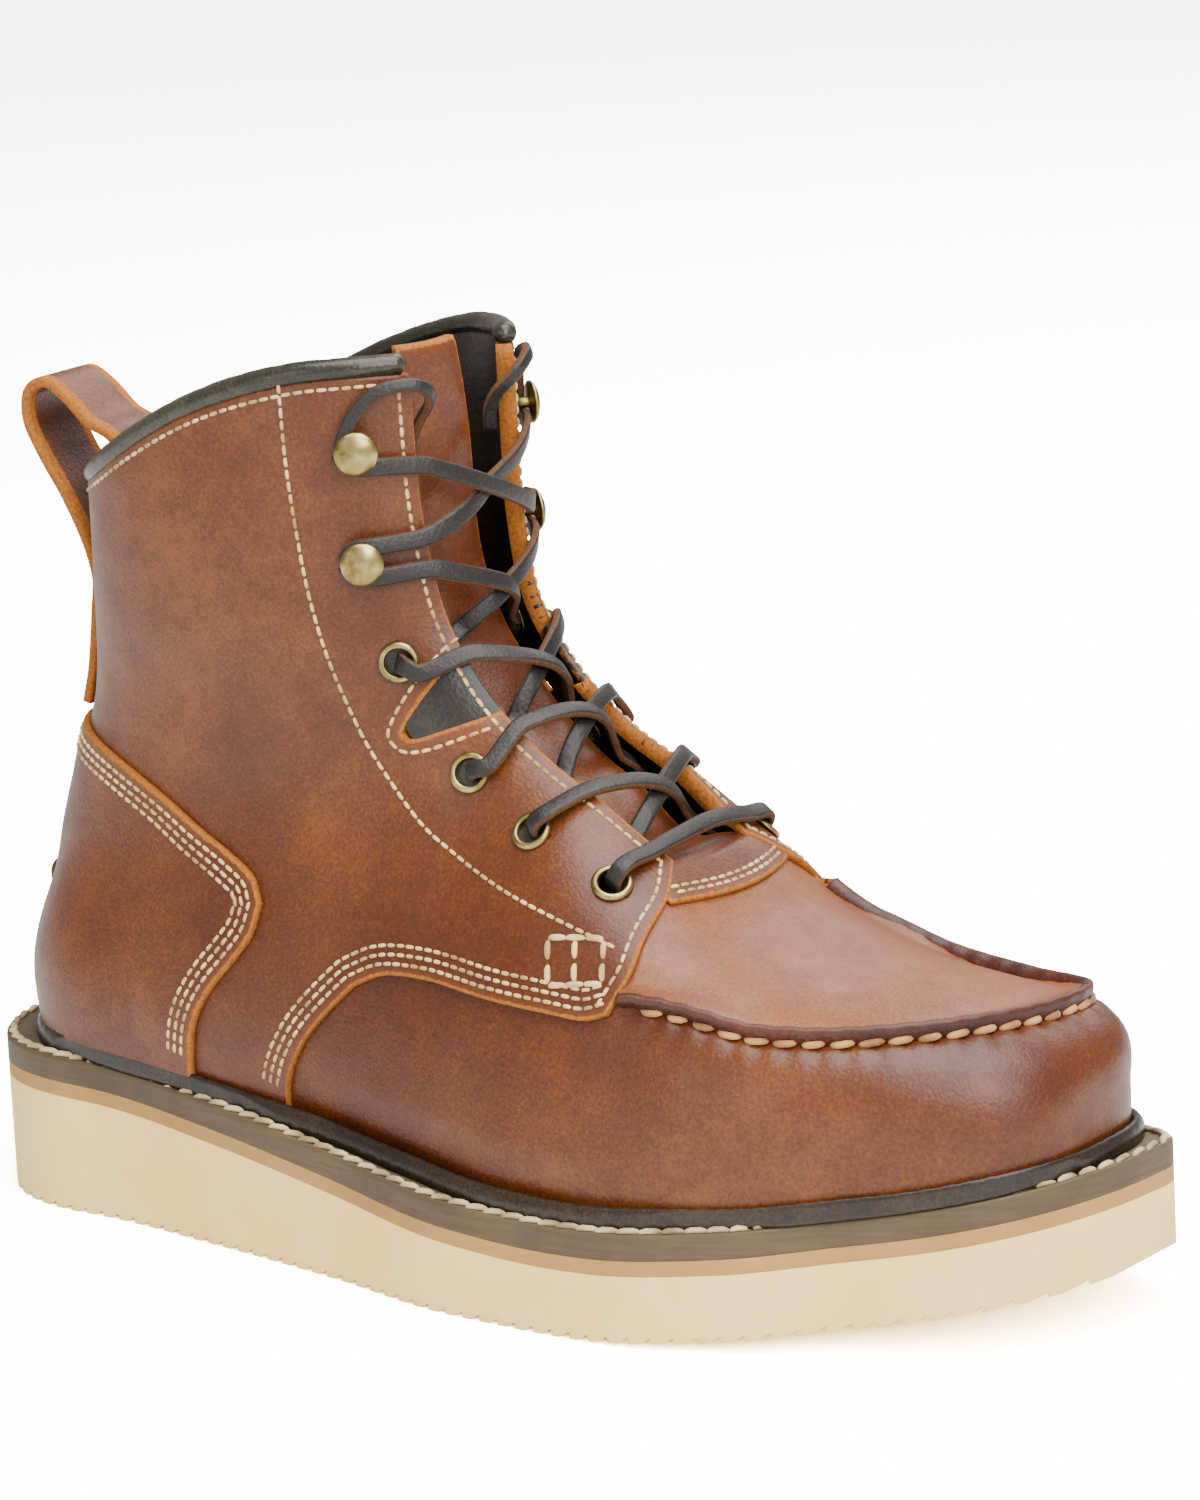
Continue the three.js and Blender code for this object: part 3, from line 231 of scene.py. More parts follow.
# %% Leather
def leather(name, dark, middle, light, raw, roughness, raw_width=0.8, grain=1.0):
    material, tree, where = empty_material(name)
    clouds = put(tree, "TexNoise", Vector=where, Scale=per_metre(52), Detail=3.0, Roughness=0.5)
    blotches = put(tree, "TexNoise", Vector=where, Scale=per_metre(8), Detail=5.0, Roughness=0.6)
    speckle = put(tree, "TexNoise", Vector=where, Scale=per_metre(0.8), Detail=2.0, Roughness=0.6)
    both = put(tree, "Math", {"operation": "MULTIPLY_ADD"},
               i0=blotches.outputs["Fac"], i1=0.20, i2=0.0)
    both = put(tree, "Math", {"operation": "MULTIPLY_ADD"},
               i0=speckle.outputs["Fac"], i1=0.36, i2=both.outputs[0])
    both = put(tree, "Math", {"operation": "MULTIPLY_ADD"},
               i0=clouds.outputs["Fac"], i1=0.44, i2=both.outputs[0])
    tones = [(0.38, shade(dark)), (0.50, shade(middle)), (0.63, shade(light))]
    body = put(tree, "ValToRGB", stops=tones, Fac=both.outputs[0]).outputs[0]
    edge = put(tree, "Attribute", {"attribute_name": "edge"}).outputs["Fac"]
    fuzz = put(tree, "TexNoise", Vector=where, Scale=per_metre(1.3), Detail=3.0).outputs["Fac"]
    frayed = put(tree, "Math", {"operation": "MULTIPLY_ADD"}, i0=fuzz, i1=-1.2, i2=edge)
    cut = put(tree, "MapRange", {"interpolation_type": "SMOOTHSTEP"}, Value=frayed.outputs[0],
              From_Min=raw_width - 0.6, From_Max=raw_width - 1.1, To_Min=0.0, To_Max=1.0)
    rubbed = put(tree, "MapRange", {"interpolation_type": "SMOOTHSTEP"}, Value=edge,
                 From_Min=4.0, From_Max=0.5, To_Min=0.0, To_Max=0.45)
    worn = put(tree, "Mix", {"data_type": "RGBA"}, i0=rubbed.outputs[0], i6=body, i7=shade(light))
    fibres = put(tree, "TexNoise", Vector=where, Scale=per_metre(0.8), Detail=4.0).outputs["Fac"]
    flesh = [(0.3, shade(raw, 0.55)), (0.6, shade(raw))]
    flesh = put(tree, "ValToRGB", stops=flesh, Fac=fibres).outputs[0]
    colour = put(tree, "Mix", {"data_type": "RGBA"},
                 i0=cut.outputs[0], i6=worn.outputs[2], i7=flesh).outputs[2]
    scuffs = put(tree, "Mapping", Vector=where, Scale=(60.0, 60.0, 700.0), Rotation=(0.3, 0.5, 0.2))
    scuffs = put(tree, "TexNoise", Vector=scuffs.outputs[0], Scale=1.0, Detail=2.0).outputs["Fac"]
    scuffs = put(tree, "MapRange", Value=scuffs, From_Min=0.72, From_Max=0.80, To_Min=0.0, To_Max=0.15)
    colour = put(tree, "Mix", {"data_type": "RGBA"},
                 i0=scuffs.outputs[0], i6=colour, i7=shade(light)).outputs[2]
    gloss = put(tree, "MapRange", Value=blotches.outputs["Fac"],
                From_Min=0.3, From_Max=0.7, To_Min=roughness + 0.04, To_Max=roughness - 0.03)
    gloss = put(tree, "Mix", {"data_type": "FLOAT"},
                i0=cut.outputs[0], i2=gloss.outputs[0], i3=0.95).outputs[0]
    pores = put(tree, "TexVoronoi", {"feature": "F1"}, Vector=where, Scale=per_metre(0.9))
    creases = put(tree, "TexNoise", Vector=where, Scale=per_metre(3.2), Detail=5.0, Roughness=0.65)
    waves = put(tree, "TexNoise", Vector=where, Scale=per_metre(24), Detail=2.0)
    bump = put(tree, "Bump", Height=pores.outputs["Distance"], Strength=0.45 * grain, Distance=0.00012)
    bump = put(tree, "Bump", Height=creases.outputs["Fac"], Strength=0.14 * grain, Distance=0.00025,
               Normal=bump.outputs[0])
    bump = put(tree, "Bump", Height=waves.outputs["Fac"], Strength=0.16, Distance=0.0012,
               Normal=bump.outputs[0])
    shader = put(tree, "BsdfPrincipled", Base_Color=colour, Roughness=gloss, IOR=1.45,
                 Normal=bump.outputs[0])
    close_material(tree, shader)
    return material


BROWN_LEATHER = leather("oiled_brown_leather", "#451b06", "#56280b", "#703c12", "#a8621c", 0.39, 1.05)
# The plug is the same brown leather drawn lighter: a painted highlight on the top of the toe.
PLUG_LEATHER_PAINTED_HIGHLIGHT = leather("plug_leather_painted_highlight", "#6b3511", "#7f4519", "#965a26", "#a8621c", 0.40)
CUT_LEATHER = leather("raw_cut_leather", "#451b06", "#56280b", "#703c12", "#a8621c", 0.42, 3.0)
# The lip is the same brown leather drawn darker: painted shade on its upright face.
LIP_LEATHER_PAINTED_SHADE = leather("folded_brown_leather_painted_shade", "#2c0f06", "#40190b", "#5c2c13", "#7c3f1a", 0.44, 0.2)
BLACK_LEATHER = leather("waxed_black_leather", "#120f0b", "#1d1813", "#2f281f", "#b06a33", 0.36, 0.1)
WELT_LEATHER = leather("storm_welt_leather", "#120b06", "#20150c", "#35271a", "#35271a", 0.34, 0.1)
BINDING_LEATHER = leather("olive_black_binding", "#17160f", "#25241a", "#3f3c2d", "#3f3c2d", 0.3, 0.1)
LACE_LEATHER = leather("rawhide_lace", "#0d0a08", "#16120f", "#26201b", "#5c3a20", 0.46, 0.75, 1.4)
INSOLE_LEATHER = leather("vegetable_tanned_insole", "#8f6a42", "#b08a5c", "#c5a274", "#c5a274", 0.6)
LINING = leather("lining_leather", "#6b4424", "#855a33", "#9d7146", "#9d7146", 0.6)
print("leathers:", [m.name for m in bpy.data.materials])

# %% [markdown]
# The thread is thick waxed polyester, three plies twisted together. From a camera's distance the plies
# are too fine to show and a stitch is a small bright bead. What does show is the wax: slow slanted
# bands of lighter and darker tone along a row, and a little grime. The rubbers are ground on a wheel,
# which leaves fine lines along the edge, and the brass is plated, blackened and rubbed back.

# %% Thread, rubber and brass
def thread(name, colour, shadow):
    material, tree, where = empty_material(name)
    bands = put(tree, "TexWave", {"bands_direction": "DIAGONAL"}, Vector=where,
                Scale=per_metre(24), Distortion=1.5, Detail=1.0)
    grime = put(tree, "TexNoise", Vector=where, Scale=per_metre(9), Detail=3.0).outputs["Fac"]
    tint = put(tree, "Math", {"operation": "MULTIPLY_ADD"}, i0=bands.outputs["Fac"], i1=0.35, i2=grime)
    tones = [(0.4, shade(shadow)), (0.85, shade(colour))]
    body = put(tree, "ValToRGB", stops=tones, Fac=tint.outputs[0]).outputs[0]
    bump = put(tree, "Bump", Height=bands.outputs["Fac"], Strength=0.5, Distance=0.0002)
    shader = put(tree, "BsdfPrincipled", Base_Color=body, Roughness=0.62, IOR=1.5,
                 Sheen_Weight=0.15, Normal=bump.outputs[0])
    close_material(tree, shader)
    return material


def rubber(name, base, deep, roughness, pore_mm, streaks):
    """Foamed or crepe rubber: a ground edge with fine pores, and grinding marks along the side."""
    material, tree, where = empty_material(name)
    soil = put(tree, "TexNoise", Vector=where, Scale=per_metre(30), Detail=6.0, Roughness=0.6)
    tones = [(0.3, shade(deep)), (0.6, shade(base))]
    body = put(tree, "ValToRGB", stops=tones, Fac=soil.outputs["Fac"]).outputs[0]
    run = put(tree, "Mapping", Vector=where, Scale=(per_metre(16), per_metre(16), per_metre(0.9)))
    lines = put(tree, "TexNoise", Vector=run.outputs[0], Scale=1.0, Detail=3.0).outputs["Fac"]
    ground = put(tree, "MapRange", Value=lines, From_Min=0.35, From_Max=0.65, To_Min=0.0, To_Max=streaks)
    colour = put(tree, "Mix", {"data_type": "RGBA"}, i0=ground.outputs[0], i6=body, i7=shade(deep))
    pores = put(tree, "TexNoise", Vector=where, Scale=per_metre(pore_mm), Detail=2.0)
    bump = put(tree, "Bump", Height=pores.outputs["Fac"], Strength=0.3, Distance=0.0002)
    bump = put(tree, "Bump", Height=lines, Strength=0.35 * min(1, streaks * 2), Distance=0.0003,
               Normal=bump.outputs[0])
    shader = put(tree, "BsdfPrincipled", Base_Color=colour.outputs[2], Roughness=roughness, IOR=1.5,
                 Normal=bump.outputs[0])
    close_material(tree, shader)
    return material


def antique_brass():
    """Plated brass, blackened and rubbed back: bright and brown in small random patches."""
    material, tree, where = empty_material("antique_brass")
    patina = put(tree, "TexNoise", Vector=where, Scale=per_metre(3.5), Detail=3.0, Roughness=0.5)
    tones = [(0.30, shade("#665832")), (0.5, shade("#94844f")), (0.70, shade("#b5a672"))]
    colour = put(tree, "ValToRGB", stops=tones, Fac=patina.outputs["Fac"]).outputs[0]
    gloss = put(tree, "MapRange", Value=patina.outputs["Fac"], From_Min=0.35, From_Max=0.7,
                To_Min=0.42, To_Max=0.30)
    dents = put(tree, "TexNoise", Vector=where, Scale=per_metre(1.6), Detail=2.0)
    bump = put(tree, "Bump", Height=dents.outputs["Fac"], Strength=0.10, Distance=0.0002)
    shader = put(tree, "BsdfPrincipled", Base_Color=colour, Roughness=gloss.outputs[0], Metallic=1.0,
                 Normal=bump.outputs[0])
    close_material(tree, shader)
    return material


CREAM_THREAD = thread("waxed_cream_thread", "#e2bd7d", "#9a7443")
MOC_THREAD = thread("waxed_tan_thread", "#c08d50", "#845528")
WELT_THREAD = thread("welt_thread", "#c9b283", "#7d6844")
CREPE = rubber("crepe_rubber", "#ffe08c", "#fcd47c", 0.62, 1.1, 0.15)
TAN_RUBBER = rubber("tan_rubber", "#b28a4a", "#9c7639", 0.7, 0.8, 0.3)
GREY_RUBBER = rubber("ground_grey_midsole", "#5a4a2f", "#40321b", 0.6, 0.7, 0.5)
BRASS = antique_brass()
print("materials:", len(bpy.data.materials))

# %% Making a piece
def add_piece(name, points, faces, materials, replaces=(), face_material=None, edge=None):
    points = (np.asarray(points, float).reshape(-1, 3) + SHIFT) / 1000
    mesh = bpy.data.meshes.new(name)
    mesh.from_pydata(points.tolist(), [], [list(map(int, face)) for face in faces])
    for material in materials:
        mesh.materials.append(material)
    mesh.polygons.foreach_set("use_smooth", np.ones(len(mesh.polygons), bool))
    if face_material is not None:
        mesh.polygons.foreach_set("material_index", np.asarray(face_material, int))
    edge = np.full(len(points), 9.0) if edge is None else np.asarray(edge, float).ravel()
    mesh.attributes.new("edge", "FLOAT", "POINT").data.foreach_set("value", edge)
    work = bmesh.new()
    work.from_mesh(mesh)
    bmesh.ops.remove_doubles(work, verts=work.verts, dist=1e-7)
    bmesh.ops.recalc_face_normals(work, faces=work.faces)
    work.to_mesh(mesh)
    work.free()
    piece = bpy.data.objects.new(name, mesh)
    bpy.context.scene.collection.objects.link(piece)
    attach(piece, "root")
    if replaces:
        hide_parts(*replaces)
    print(f"{name}: {len(mesh.vertices)} points")
    return piece


def unit(v):
    return v / np.maximum(np.linalg.norm(v, axis=-1, keepdims=True), 1e-12)


def grid_faces(rows, columns, start=0, closed=False):
    """Quads of a grid of points, row after row; closed joins the last row to the first."""
    r = np.arange(rows if closed else rows - 1)[:, None]
    c = np.arange(columns - 1)[None, :]
    here = start + r * columns + c
    there = start + ((r + 1) % rows) * columns + c
    return np.stack([here, here + 1, there + 1, there], -1).reshape(-1, 4)


def ring_sweep(rings, closed=False):
    """Points and faces of a tube through rings; closed joins the last ring to the first."""
    rings = np.asarray(rings)
    count, around = rings.shape[:2]
    i = np.arange(count if closed else count - 1)[:, None]
    j = np.arange(around)[None, :]
    k = (j + 1) % around
    here, there = i * around, (i + 1) % count * around
    faces = np.stack([here + j, here + k, there + k, there + j], -1).reshape(-1, 4).tolist()
    if not closed:
        faces.append(list(range(around)))
        faces.append([(count - 1) * around + n for n in range(around)])
    return rings.reshape(-1, 3), faces


def smooth_line(points, count=None, step=None, closed=False):
    """A rounded line through a few points, cut into equal steps."""
    p = np.asarray(points, float)
    if closed:
        p = np.concatenate([p[-2:], p, p[:3]])
    chord = np.maximum(np.linalg.norm(np.diff(p[:, :3], axis=0), axis=1), 1e-9) ** 0.5
    knots = np.concatenate([[0], np.cumsum(chord)])
    tangents = np.gradient(p, knots, axis=0)
    fine = np.linspace(knots[2] if closed else 0, knots[-3] if closed else knots[-1], 40 * len(p))
    i = np.clip(np.searchsorted(knots, fine) - 1, 0, len(p) - 2)
    h = (knots[i + 1] - knots[i])[:, None]
    t = ((fine - knots[i])[:, None]) / h
    line = ((1 + 2 * t) * (1 - t) ** 2 * p[i] + t * (1 - t) ** 2 * h * tangents[i]
            + t * t * (3 - 2 * t) * p[i + 1] + t * t * (t - 1) * h * tangents[i + 1])
    return even(line, count=count, step=step)


def even(line, count=None, step=None, shares=None):
    """The same line with its points an equal way apart, or at given shares of its length."""
    run = run_of(line)
    if shares is None:
        count = count or max(3, int(round(run[-1] / step)) + 1)
        shares = np.linspace(0, 1, count)
    goal = np.asarray(shares) * run[-1]
    return np.stack([np.interp(goal, run, column) for column in line.T], -1)


def run_of(line):
    """Running length along a line, from its start."""
    return np.concatenate([[0], np.cumsum(np.linalg.norm(np.diff(line[:, :3], axis=0), axis=1))])


test_line = smooth_line([(0, 0, 0), (5, 0, 0), (10, 0, 0)], step=2.5)
print("a line 10 mm long in steps of 2.5 mm has", len(test_line), "points")

# %% [markdown]
# The two lace ends are free cords, so they come first. Each one comes out from under the top hook's
# cap, rises in a small arc, drops over the edge of the leather and is tucked behind it. Their points
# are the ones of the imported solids. The lace is cut from flat rawhide, so its section is a rounded
# rectangle, wider than it is thick.

# %% Lace ends
SIDES = ((-1, "outer"), (1, "inner"))
LACE_END = 2.8
LACE_END_POINTS = np.array([
    [127.5, -33.5, 189.6], [127.7, -33.4, 191.2], [128.5, -32.6, 193.8], [129.7, -31.2, 197.0],
    [132.0, -29.1, 200.4], [133.5, -27.8, 201.7], [135.2, -26.4, 202.6], [138.4, -23.4, 203.3],
    [139.7, -21.8, 203.1], [140.7, -20.2, 202.6], [140.9, -17.2, 200.6], [139.0, -15.0, 197.6],
    [137.5, -14.3, 196.1], [136.0, -14.0, 194.4], [133.8, -14.2, 190.4], [133.0, -15.2, 186.0],
])


def carried_frames(line, first):
    """Directions across a line that turn with it and never twist."""
    along = unit(np.gradient(line, axis=0))
    across = [unit(first - along[0] * np.dot(first, along[0]))]
    for t in along[1:]:
        last = across[-1]
        across.append(unit(last - t * np.dot(last, t)))
    across = np.array(across)
    return along, across, np.cross(along, across)


def lace_ring(width, thick, corner=0.75, steps=4):
    """A rounded rectangle, as angle steps round each of its four corners."""
    ring = []
    for sx, sy, start in ((1, 1, 0), (-1, 1, 90), (-1, -1, 180), (1, -1, 270)):
        for a in np.radians(np.linspace(start, start + 90, steps)):
            ring.append((sx * (width / 2 - corner) + corner * math.cos(a),
                         sy * (thick / 2 - corner) + corner * math.sin(a)))
    return np.array(ring)


def flat_lace(line, across, over, width, thick):
    profile = lace_ring(width, thick)
    rings = (line[:, None, :] + profile[None, :, :1] * across[:, None, :]
             + profile[None, :, 1:] * over[:, None, :])
    points, faces = ring_sweep(rings)
    side = np.abs(np.abs(profile[:, 0]) - width / 2) < 0.3
    edge = np.tile(np.where(side, 0.0, 3.0), len(line))
    return points, faces, edge


for side, word in SIDES:
    route = LACE_END_POINTS * [1, -side, 1]
    line = smooth_line(route, step=0.8)
    _, across, over = carried_frames(line, np.array([0.9, -0.4 * side, 0.0]))
    points, faces, edge = flat_lace(line, across, over, LACE_END * 1.1, LACE_END * 0.8)
    piece = add_piece(f"tucked_lace_{word}", points, faces, [LACE_LEATHER],
                      [f"lace_end_{word}"], edge=edge)
    print(word, "lace end is", round(run_of(line)[-1], 1), "mm long")

# %% [markdown]
# The last is the wooden foot that a boot is pulled over. Here it is a formula that is zero on the
# leather's outer face and negative inside: the foot part and the shaft are two rounded boxes whose
# sizes come from tables, melted together at the ankle. Any guessed point slides to the face by a few
# Newton steps, so each seam on the boot can be given by a handful of points.

# %% The last
FOOT_SECTIONS = np.array([
    # where, outer and inner half width, ridge, lean
    [0.065, 0.266, 0.266, 0.400, 0.000], [0.163, 0.288, 0.284, 0.490, 0.000],
    [0.278, 0.338, 0.279, 0.640, 0.000], [0.408, 0.396, 0.270, 0.873, 0.018],
    [0.490, 0.446, 0.293, 0.996, 0.027], [0.572, 0.491, 0.338, 0.962, 0.027],
    [0.654, 0.505, 0.396, 0.783, 0.018], [0.719, 0.482, 0.423, 0.605, 0.000],
    [0.784, 0.437, 0.432, 0.500, 0.000], [0.856, 0.360, 0.419, 0.445, 0.020],
    [0.931, 0.297, 0.405, 0.406, 0.090], [0.980, 0.270, 0.396, 0.361, 0.126],
])
SHAFT_SECTIONS = np.array([
    # height, back, length, half width
    [0.000, 0.058, 0.955, 0.388], [0.099, 0.049, 1.169, 0.420], [0.243, 0.057, 1.258, 0.414],
    [0.386, 0.081, 1.206, 0.405], [0.501, 0.103, 1.136, 0.418], [0.644, 0.114, 1.038, 0.462],
    [0.788, 0.119, 0.992, 0.487], [1.000, 0.121, 0.981, 0.500],
])
foot_outer, foot_inner, foot_ridge, foot_lean = [
    follow(FOOT_SECTIONS[:, 0], FOOT_SECTIONS[:, k]) for k in (1, 2, 3, 4)]
shaft_back, shaft_length, shaft_half = [
    follow(SHAFT_SECTIONS[:, 0], SHAFT_SECTIONS[:, k]) for k in (1, 2, 3)]
CUP, SIDE_SCALE, FORM_BLEND, FORM_CORE, UNDER_CUP = 14.0, 40.0, 22.0, 30.0, 46.0
TOE_CAP_FROM, TOE_CAP_TO = 0.758 * SOLE_LENGTH, 0.971 * SOLE_LENGTH
HEEL_CAP_FROM, HEEL_CAP_LENGTH = 0.15 * SOLE_LENGTH, 29.0


def foot_form(p):
    x, y, z = p[..., 0], p[..., 1], p[..., 2]
    along = np.clip(x, 0.065 * SOLE_LENGTH, 0.98 * SOLE_LENGTH)
    share = along / SOLE_LENGTH
    outer, inner = foot_outer(share) * BALL_WIDTH, foot_inner(share) * BALL_WIDTH
    widest = ledge_height(along) + CUP
    ridge = np.maximum(foot_ridge(share) * INSTEP_RISE - CUP, 5)
    up = np.where(z > widest, (z - widest) / ridge, (widest - z) / UNDER_CUP)
    lean = np.where(z > widest, np.clip(up, 0, 1), 0)
    middle = (inner - outer) / 2 * (1 - lean) + foot_lean(share) * BALL_WIDTH * lean
    across = np.abs(y - middle) / ((inner + outer) / 2)
    square = np.clip((x - 0.49 * SOLE_LENGTH) / (0.26 * SOLE_LENGTH), 0, 1)
    side_power = 2 + (np.where(y > middle, 2.2, 3.2) - 2) * square
    toe = np.maximum(0, (x - TOE_CAP_FROM) / (TOE_CAP_TO - TOE_CAP_FROM))
    heel = np.maximum(0, (HEEL_CAP_FROM - x) / HEEL_CAP_LENGTH)
    total = toe ** 3.4 + heel ** 2.2 + across ** side_power + up ** (2 + square)
    return (total ** (1 / 2.1) - 1) * SIDE_SCALE


def shaft_form(p):
    share = (p[..., 2] - HEEL_HEIGHT) / SHAFT_RISE
    half = shaft_half(share) * SHAFT_WIDTH
    reach = shaft_length(share) * SHAFT_LENGTH / 2
    middle = shaft_back(share) * SOLE_LENGTH + reach
    total = (np.abs(p[..., 0] - middle) / reach) ** 2.3 + (np.abs(p[..., 1]) / half) ** 2.3
    return (total ** (1 / 2.3) - 1) * half


def form(p):
    foot, shaft = foot_form(p), shaft_form(p)
    share = np.clip(0.5 + (shaft - foot) / (2 * FORM_BLEND), 0, 1)
    return shaft + (foot - shaft) * share - FORM_BLEND * share * (1 - share)


def slope_at(p):
    steps = 0.4 * np.eye(3)
    return np.stack([form(p + s) - form(p - s) for s in steps], -1) / 0.8


def on_leather(guess, level=False):
    p = np.array(guess, float)
    for _ in range(12):
        slope = slope_at(p)
        if level:
            slope[..., 2] = 0
        step = form(p) / np.maximum((slope ** 2).sum(-1), 0.05)
        p -= slope * np.clip(step, -15, 15)[..., None]
    return p


def outward(p):
    return unit(slope_at(p))


def way_out(start, way):
    """Where a straight way out of the boot, from a point inside it, meets the leather's face."""
    low, high = np.zeros(start.shape[:-1]), np.full(start.shape[:-1], INSTEP_RISE)
    for _ in range(30):
        middle = (low + high) / 2
        inside = form(start + way * middle[..., None]) < 0
        low, high = np.where(inside, middle, low), np.where(inside, high, middle)
    return start + way * low[..., None]


def crown(x, y):
    start = np.stack([x, y, ledge_height(x) + CUP], -1)
    return way_out(start, np.broadcast_to([0.0, 0.0, 1.0], start.shape))


def vamp_drop(x):
    """The vamp lies one quarter's thickness lower where the quarters cover it."""
    return QUARTER * (1 - ease((x - 0.67 * SOLE_LENGTH) / (0.075 * SOLE_LENGTH)))


test = on_leather(np.array([[150.0, -60.0, 60.0]]))
print("a point on the side of the last", test.round(1), "off by", form(test).round(4))

# %% [markdown]
# Three lines hold the whole upper: its foot on the welt, its rim round the collar and down the
# throat, and the moc seam round the toe. Seams seen from the side are listed for the outer side, and
# the inner side is their mirror image pulled onto the last.

# %% Lines on the last
RIM = np.array([
    # spot of the sole below, then x, y and z as shares of sole length, shaft width and shaft rise
    [0.000, 0.119, 0.000, 0.772], [0.016, 0.124, 0.152, 0.775], [0.052, 0.144, 0.291, 0.786],
    [0.111, 0.176, 0.405, 0.812], [0.180, 0.229, 0.481, 0.861], [0.255, 0.288, 0.500, 0.910],
    [0.320, 0.346, 0.487, 0.944], [0.366, 0.395, 0.418, 0.961], [0.405, 0.431, 0.316, 0.964],
    [0.435, 0.448, 0.247, 0.962], [0.470, 0.451, 0.241, 0.817], [0.500, 0.461, 0.222, 0.674],
    [0.529, 0.493, 0.203, 0.553], [0.582, 0.556, 0.196, 0.456], [0.641, 0.621, 0.190, 0.375],
    [0.686, 0.652, 0.177, 0.345],
])
rim_x, rim_y, rim_z = [follow(RIM[:, 0], RIM[:, k]) for k in (1, 2, 3)]
COLLAR_CORNER, THROAT_END = 0.435, 0.686
MOC_SEAM = np.array([
    [0.672, -0.410], [0.714, -0.384], [0.765, -0.360], [0.801, -0.330], [0.836, -0.284],
    [0.868, -0.226], [0.896, -0.151], [0.919, -0.045], [0.929, 0.085], [0.925, 0.200],
    [0.906, 0.275], [0.870, 0.310], [0.820, 0.325], [0.770, 0.330], [0.720, 0.325], [0.680, 0.315],
])
LEDGE_INSET = 8.5


def along_sole(x):
    """The place along the sole, in mm, of the spot with that x on the foot of the upper."""
    return (x - LEDGE_INSET) / (SOLE_LENGTH - 2 * LEDGE_INSET) * SOLE_LENGTH


def rim_line(side, start, end, count=160):
    s = np.linspace(start, end, count)
    return on_leather(np.stack([
        rim_x(s) * SOLE_LENGTH, side * rim_y(s) * SHAFT_WIDTH, HEEL_HEIGHT + rim_z(s) * SHAFT_RISE,
    ], -1))


def foot_line(side, start, end, count=160):
    """The foot of the upper; start and end are places along the sole in mm."""
    turns = np.arccos(1 - 2 * np.clip(np.array([start, end]) / SOLE_LENGTH, 0, 1))
    share = (1 - np.cos(np.linspace(*turns, count))) / 2
    x = LEDGE_INSET + (SOLE_LENGTH - 2 * LEDGE_INSET) * share
    y = sole_edge(share * SOLE_LENGTH, side) * 0.84
    return on_leather(np.stack([x, y, ledge_height(x) + GAP], -1), level=True)


def mirrored(points, side):
    """Points listed for the outer side, on either side of the last."""
    return on_leather(np.asarray(points, float) * [1, -side, 1])


def beside(line, shift, side):
    """The same line moved over the leather, to its inner hand on both sides of the boot."""
    across = np.cross(outward(line), unit(np.gradient(line, axis=0))) * side
    return on_leather(line + across * shift)


FRONT_EDGE = [(199.5, -14.0, 97.7), (204.8, -23.7, 92.9), (205.6, -34.2, 86.2), (206.0, -41.0, 79.0),
              (203.5, -46.6, 71.2)]
LOWER_EDGE = [(203.5, -46.6, 71.2), (198.0, -48.0, 69.6), (188.6, -47.8, 69.8), (169.8, -46.2, 70.5),
              (148.7, -41.8, 71.5), (135.1, -40.4, 70.4), (127.0, -40.5, 66.9)]
RISING_EDGE = [(127.0, -40.5, 66.9), (118.6, -41.6, 59.0), (112.9, -42.0, 52.3), (107.2, -41.4, 41.0),
               (105.9, -40.6, 32.3)]
COUNTER_FRONT = [(77.3, -39.3, 36.0), (80.8, -40.0, 53.0), (85.8, -39.5, 61.2), (92.1, -38.6, 68.1),
                 (97.1, -37.6, 74.6), (99.3, -35.9, 82.1)]
COUNTER_TOP = [(99.3, -35.9, 82.1), (96.5, -34.4, 87.8), (89.7, -33.2, 92.0), (78.7, -31.8, 97.4),
               (66.4, -30.6, 104.2), (50.1, -27.0, 110.5), (30.5, -14.6, 115.1), (26.0, 0.0, 116.0)]
UNDER_QUARTER = [(98.0, -39.0, 50.0), (106.0, -41.0, 60.0), (115.0, -41.5, 69.0),
                 (128.0, -39.5, 77.0), (150.0, -41.0, 78.0), (172.0, -44.5, 77.0),
                 (190.0, -46.0, 75.5), (205.6, -45.5, 74.9)]
EYESTAY_LINE = [(113.2, -36.0, 204.6), (113.5, -35.5, 186.7), (114.7, -34.7, 170.6),
                (116.6, -33.6, 154.2), (120.7, -31.0, 135.9), (128.0, -28.8, 119.2),
                (141.3, -30.0, 104.8), (153.3, -32.0, 98.2), (168.1, -35.4, 92.8),
                (185.2, -38.2, 88.3), (200.6, -38.7, 83.8)]
seam_plan = MOC_SEAM * [SOLE_LENGTH, BALL_WIDTH]
seam_plan = smooth_line(np.column_stack([seam_plan, np.zeros(len(seam_plan))]), step=0.8)
seam = crown(seam_plan[:, 0], seam_plan[:, 1])
collar_run = run_of(rim_line(-1, 0, COLLAR_CORNER))[-1]
print("moc seam", round(run_of(seam)[-1]), "mm, collar", round(collar_run), "mm a side")

# %% [markdown]
# The sole is three slabs with one plan: a crepe outsole that wears grippy and soft, a thin tan strip
# and a grey midsole. On the real boot they are glued up, then ground flush on a wheel, so their edges
# line up and only tiny rounds and grinding marks tell them apart. The tread is a row of slanted teeth.

# %% Sole
TREAD_PITCH, TREAD_LAND, TREAD_DEPTH = 5.1, 2.2, 1.4


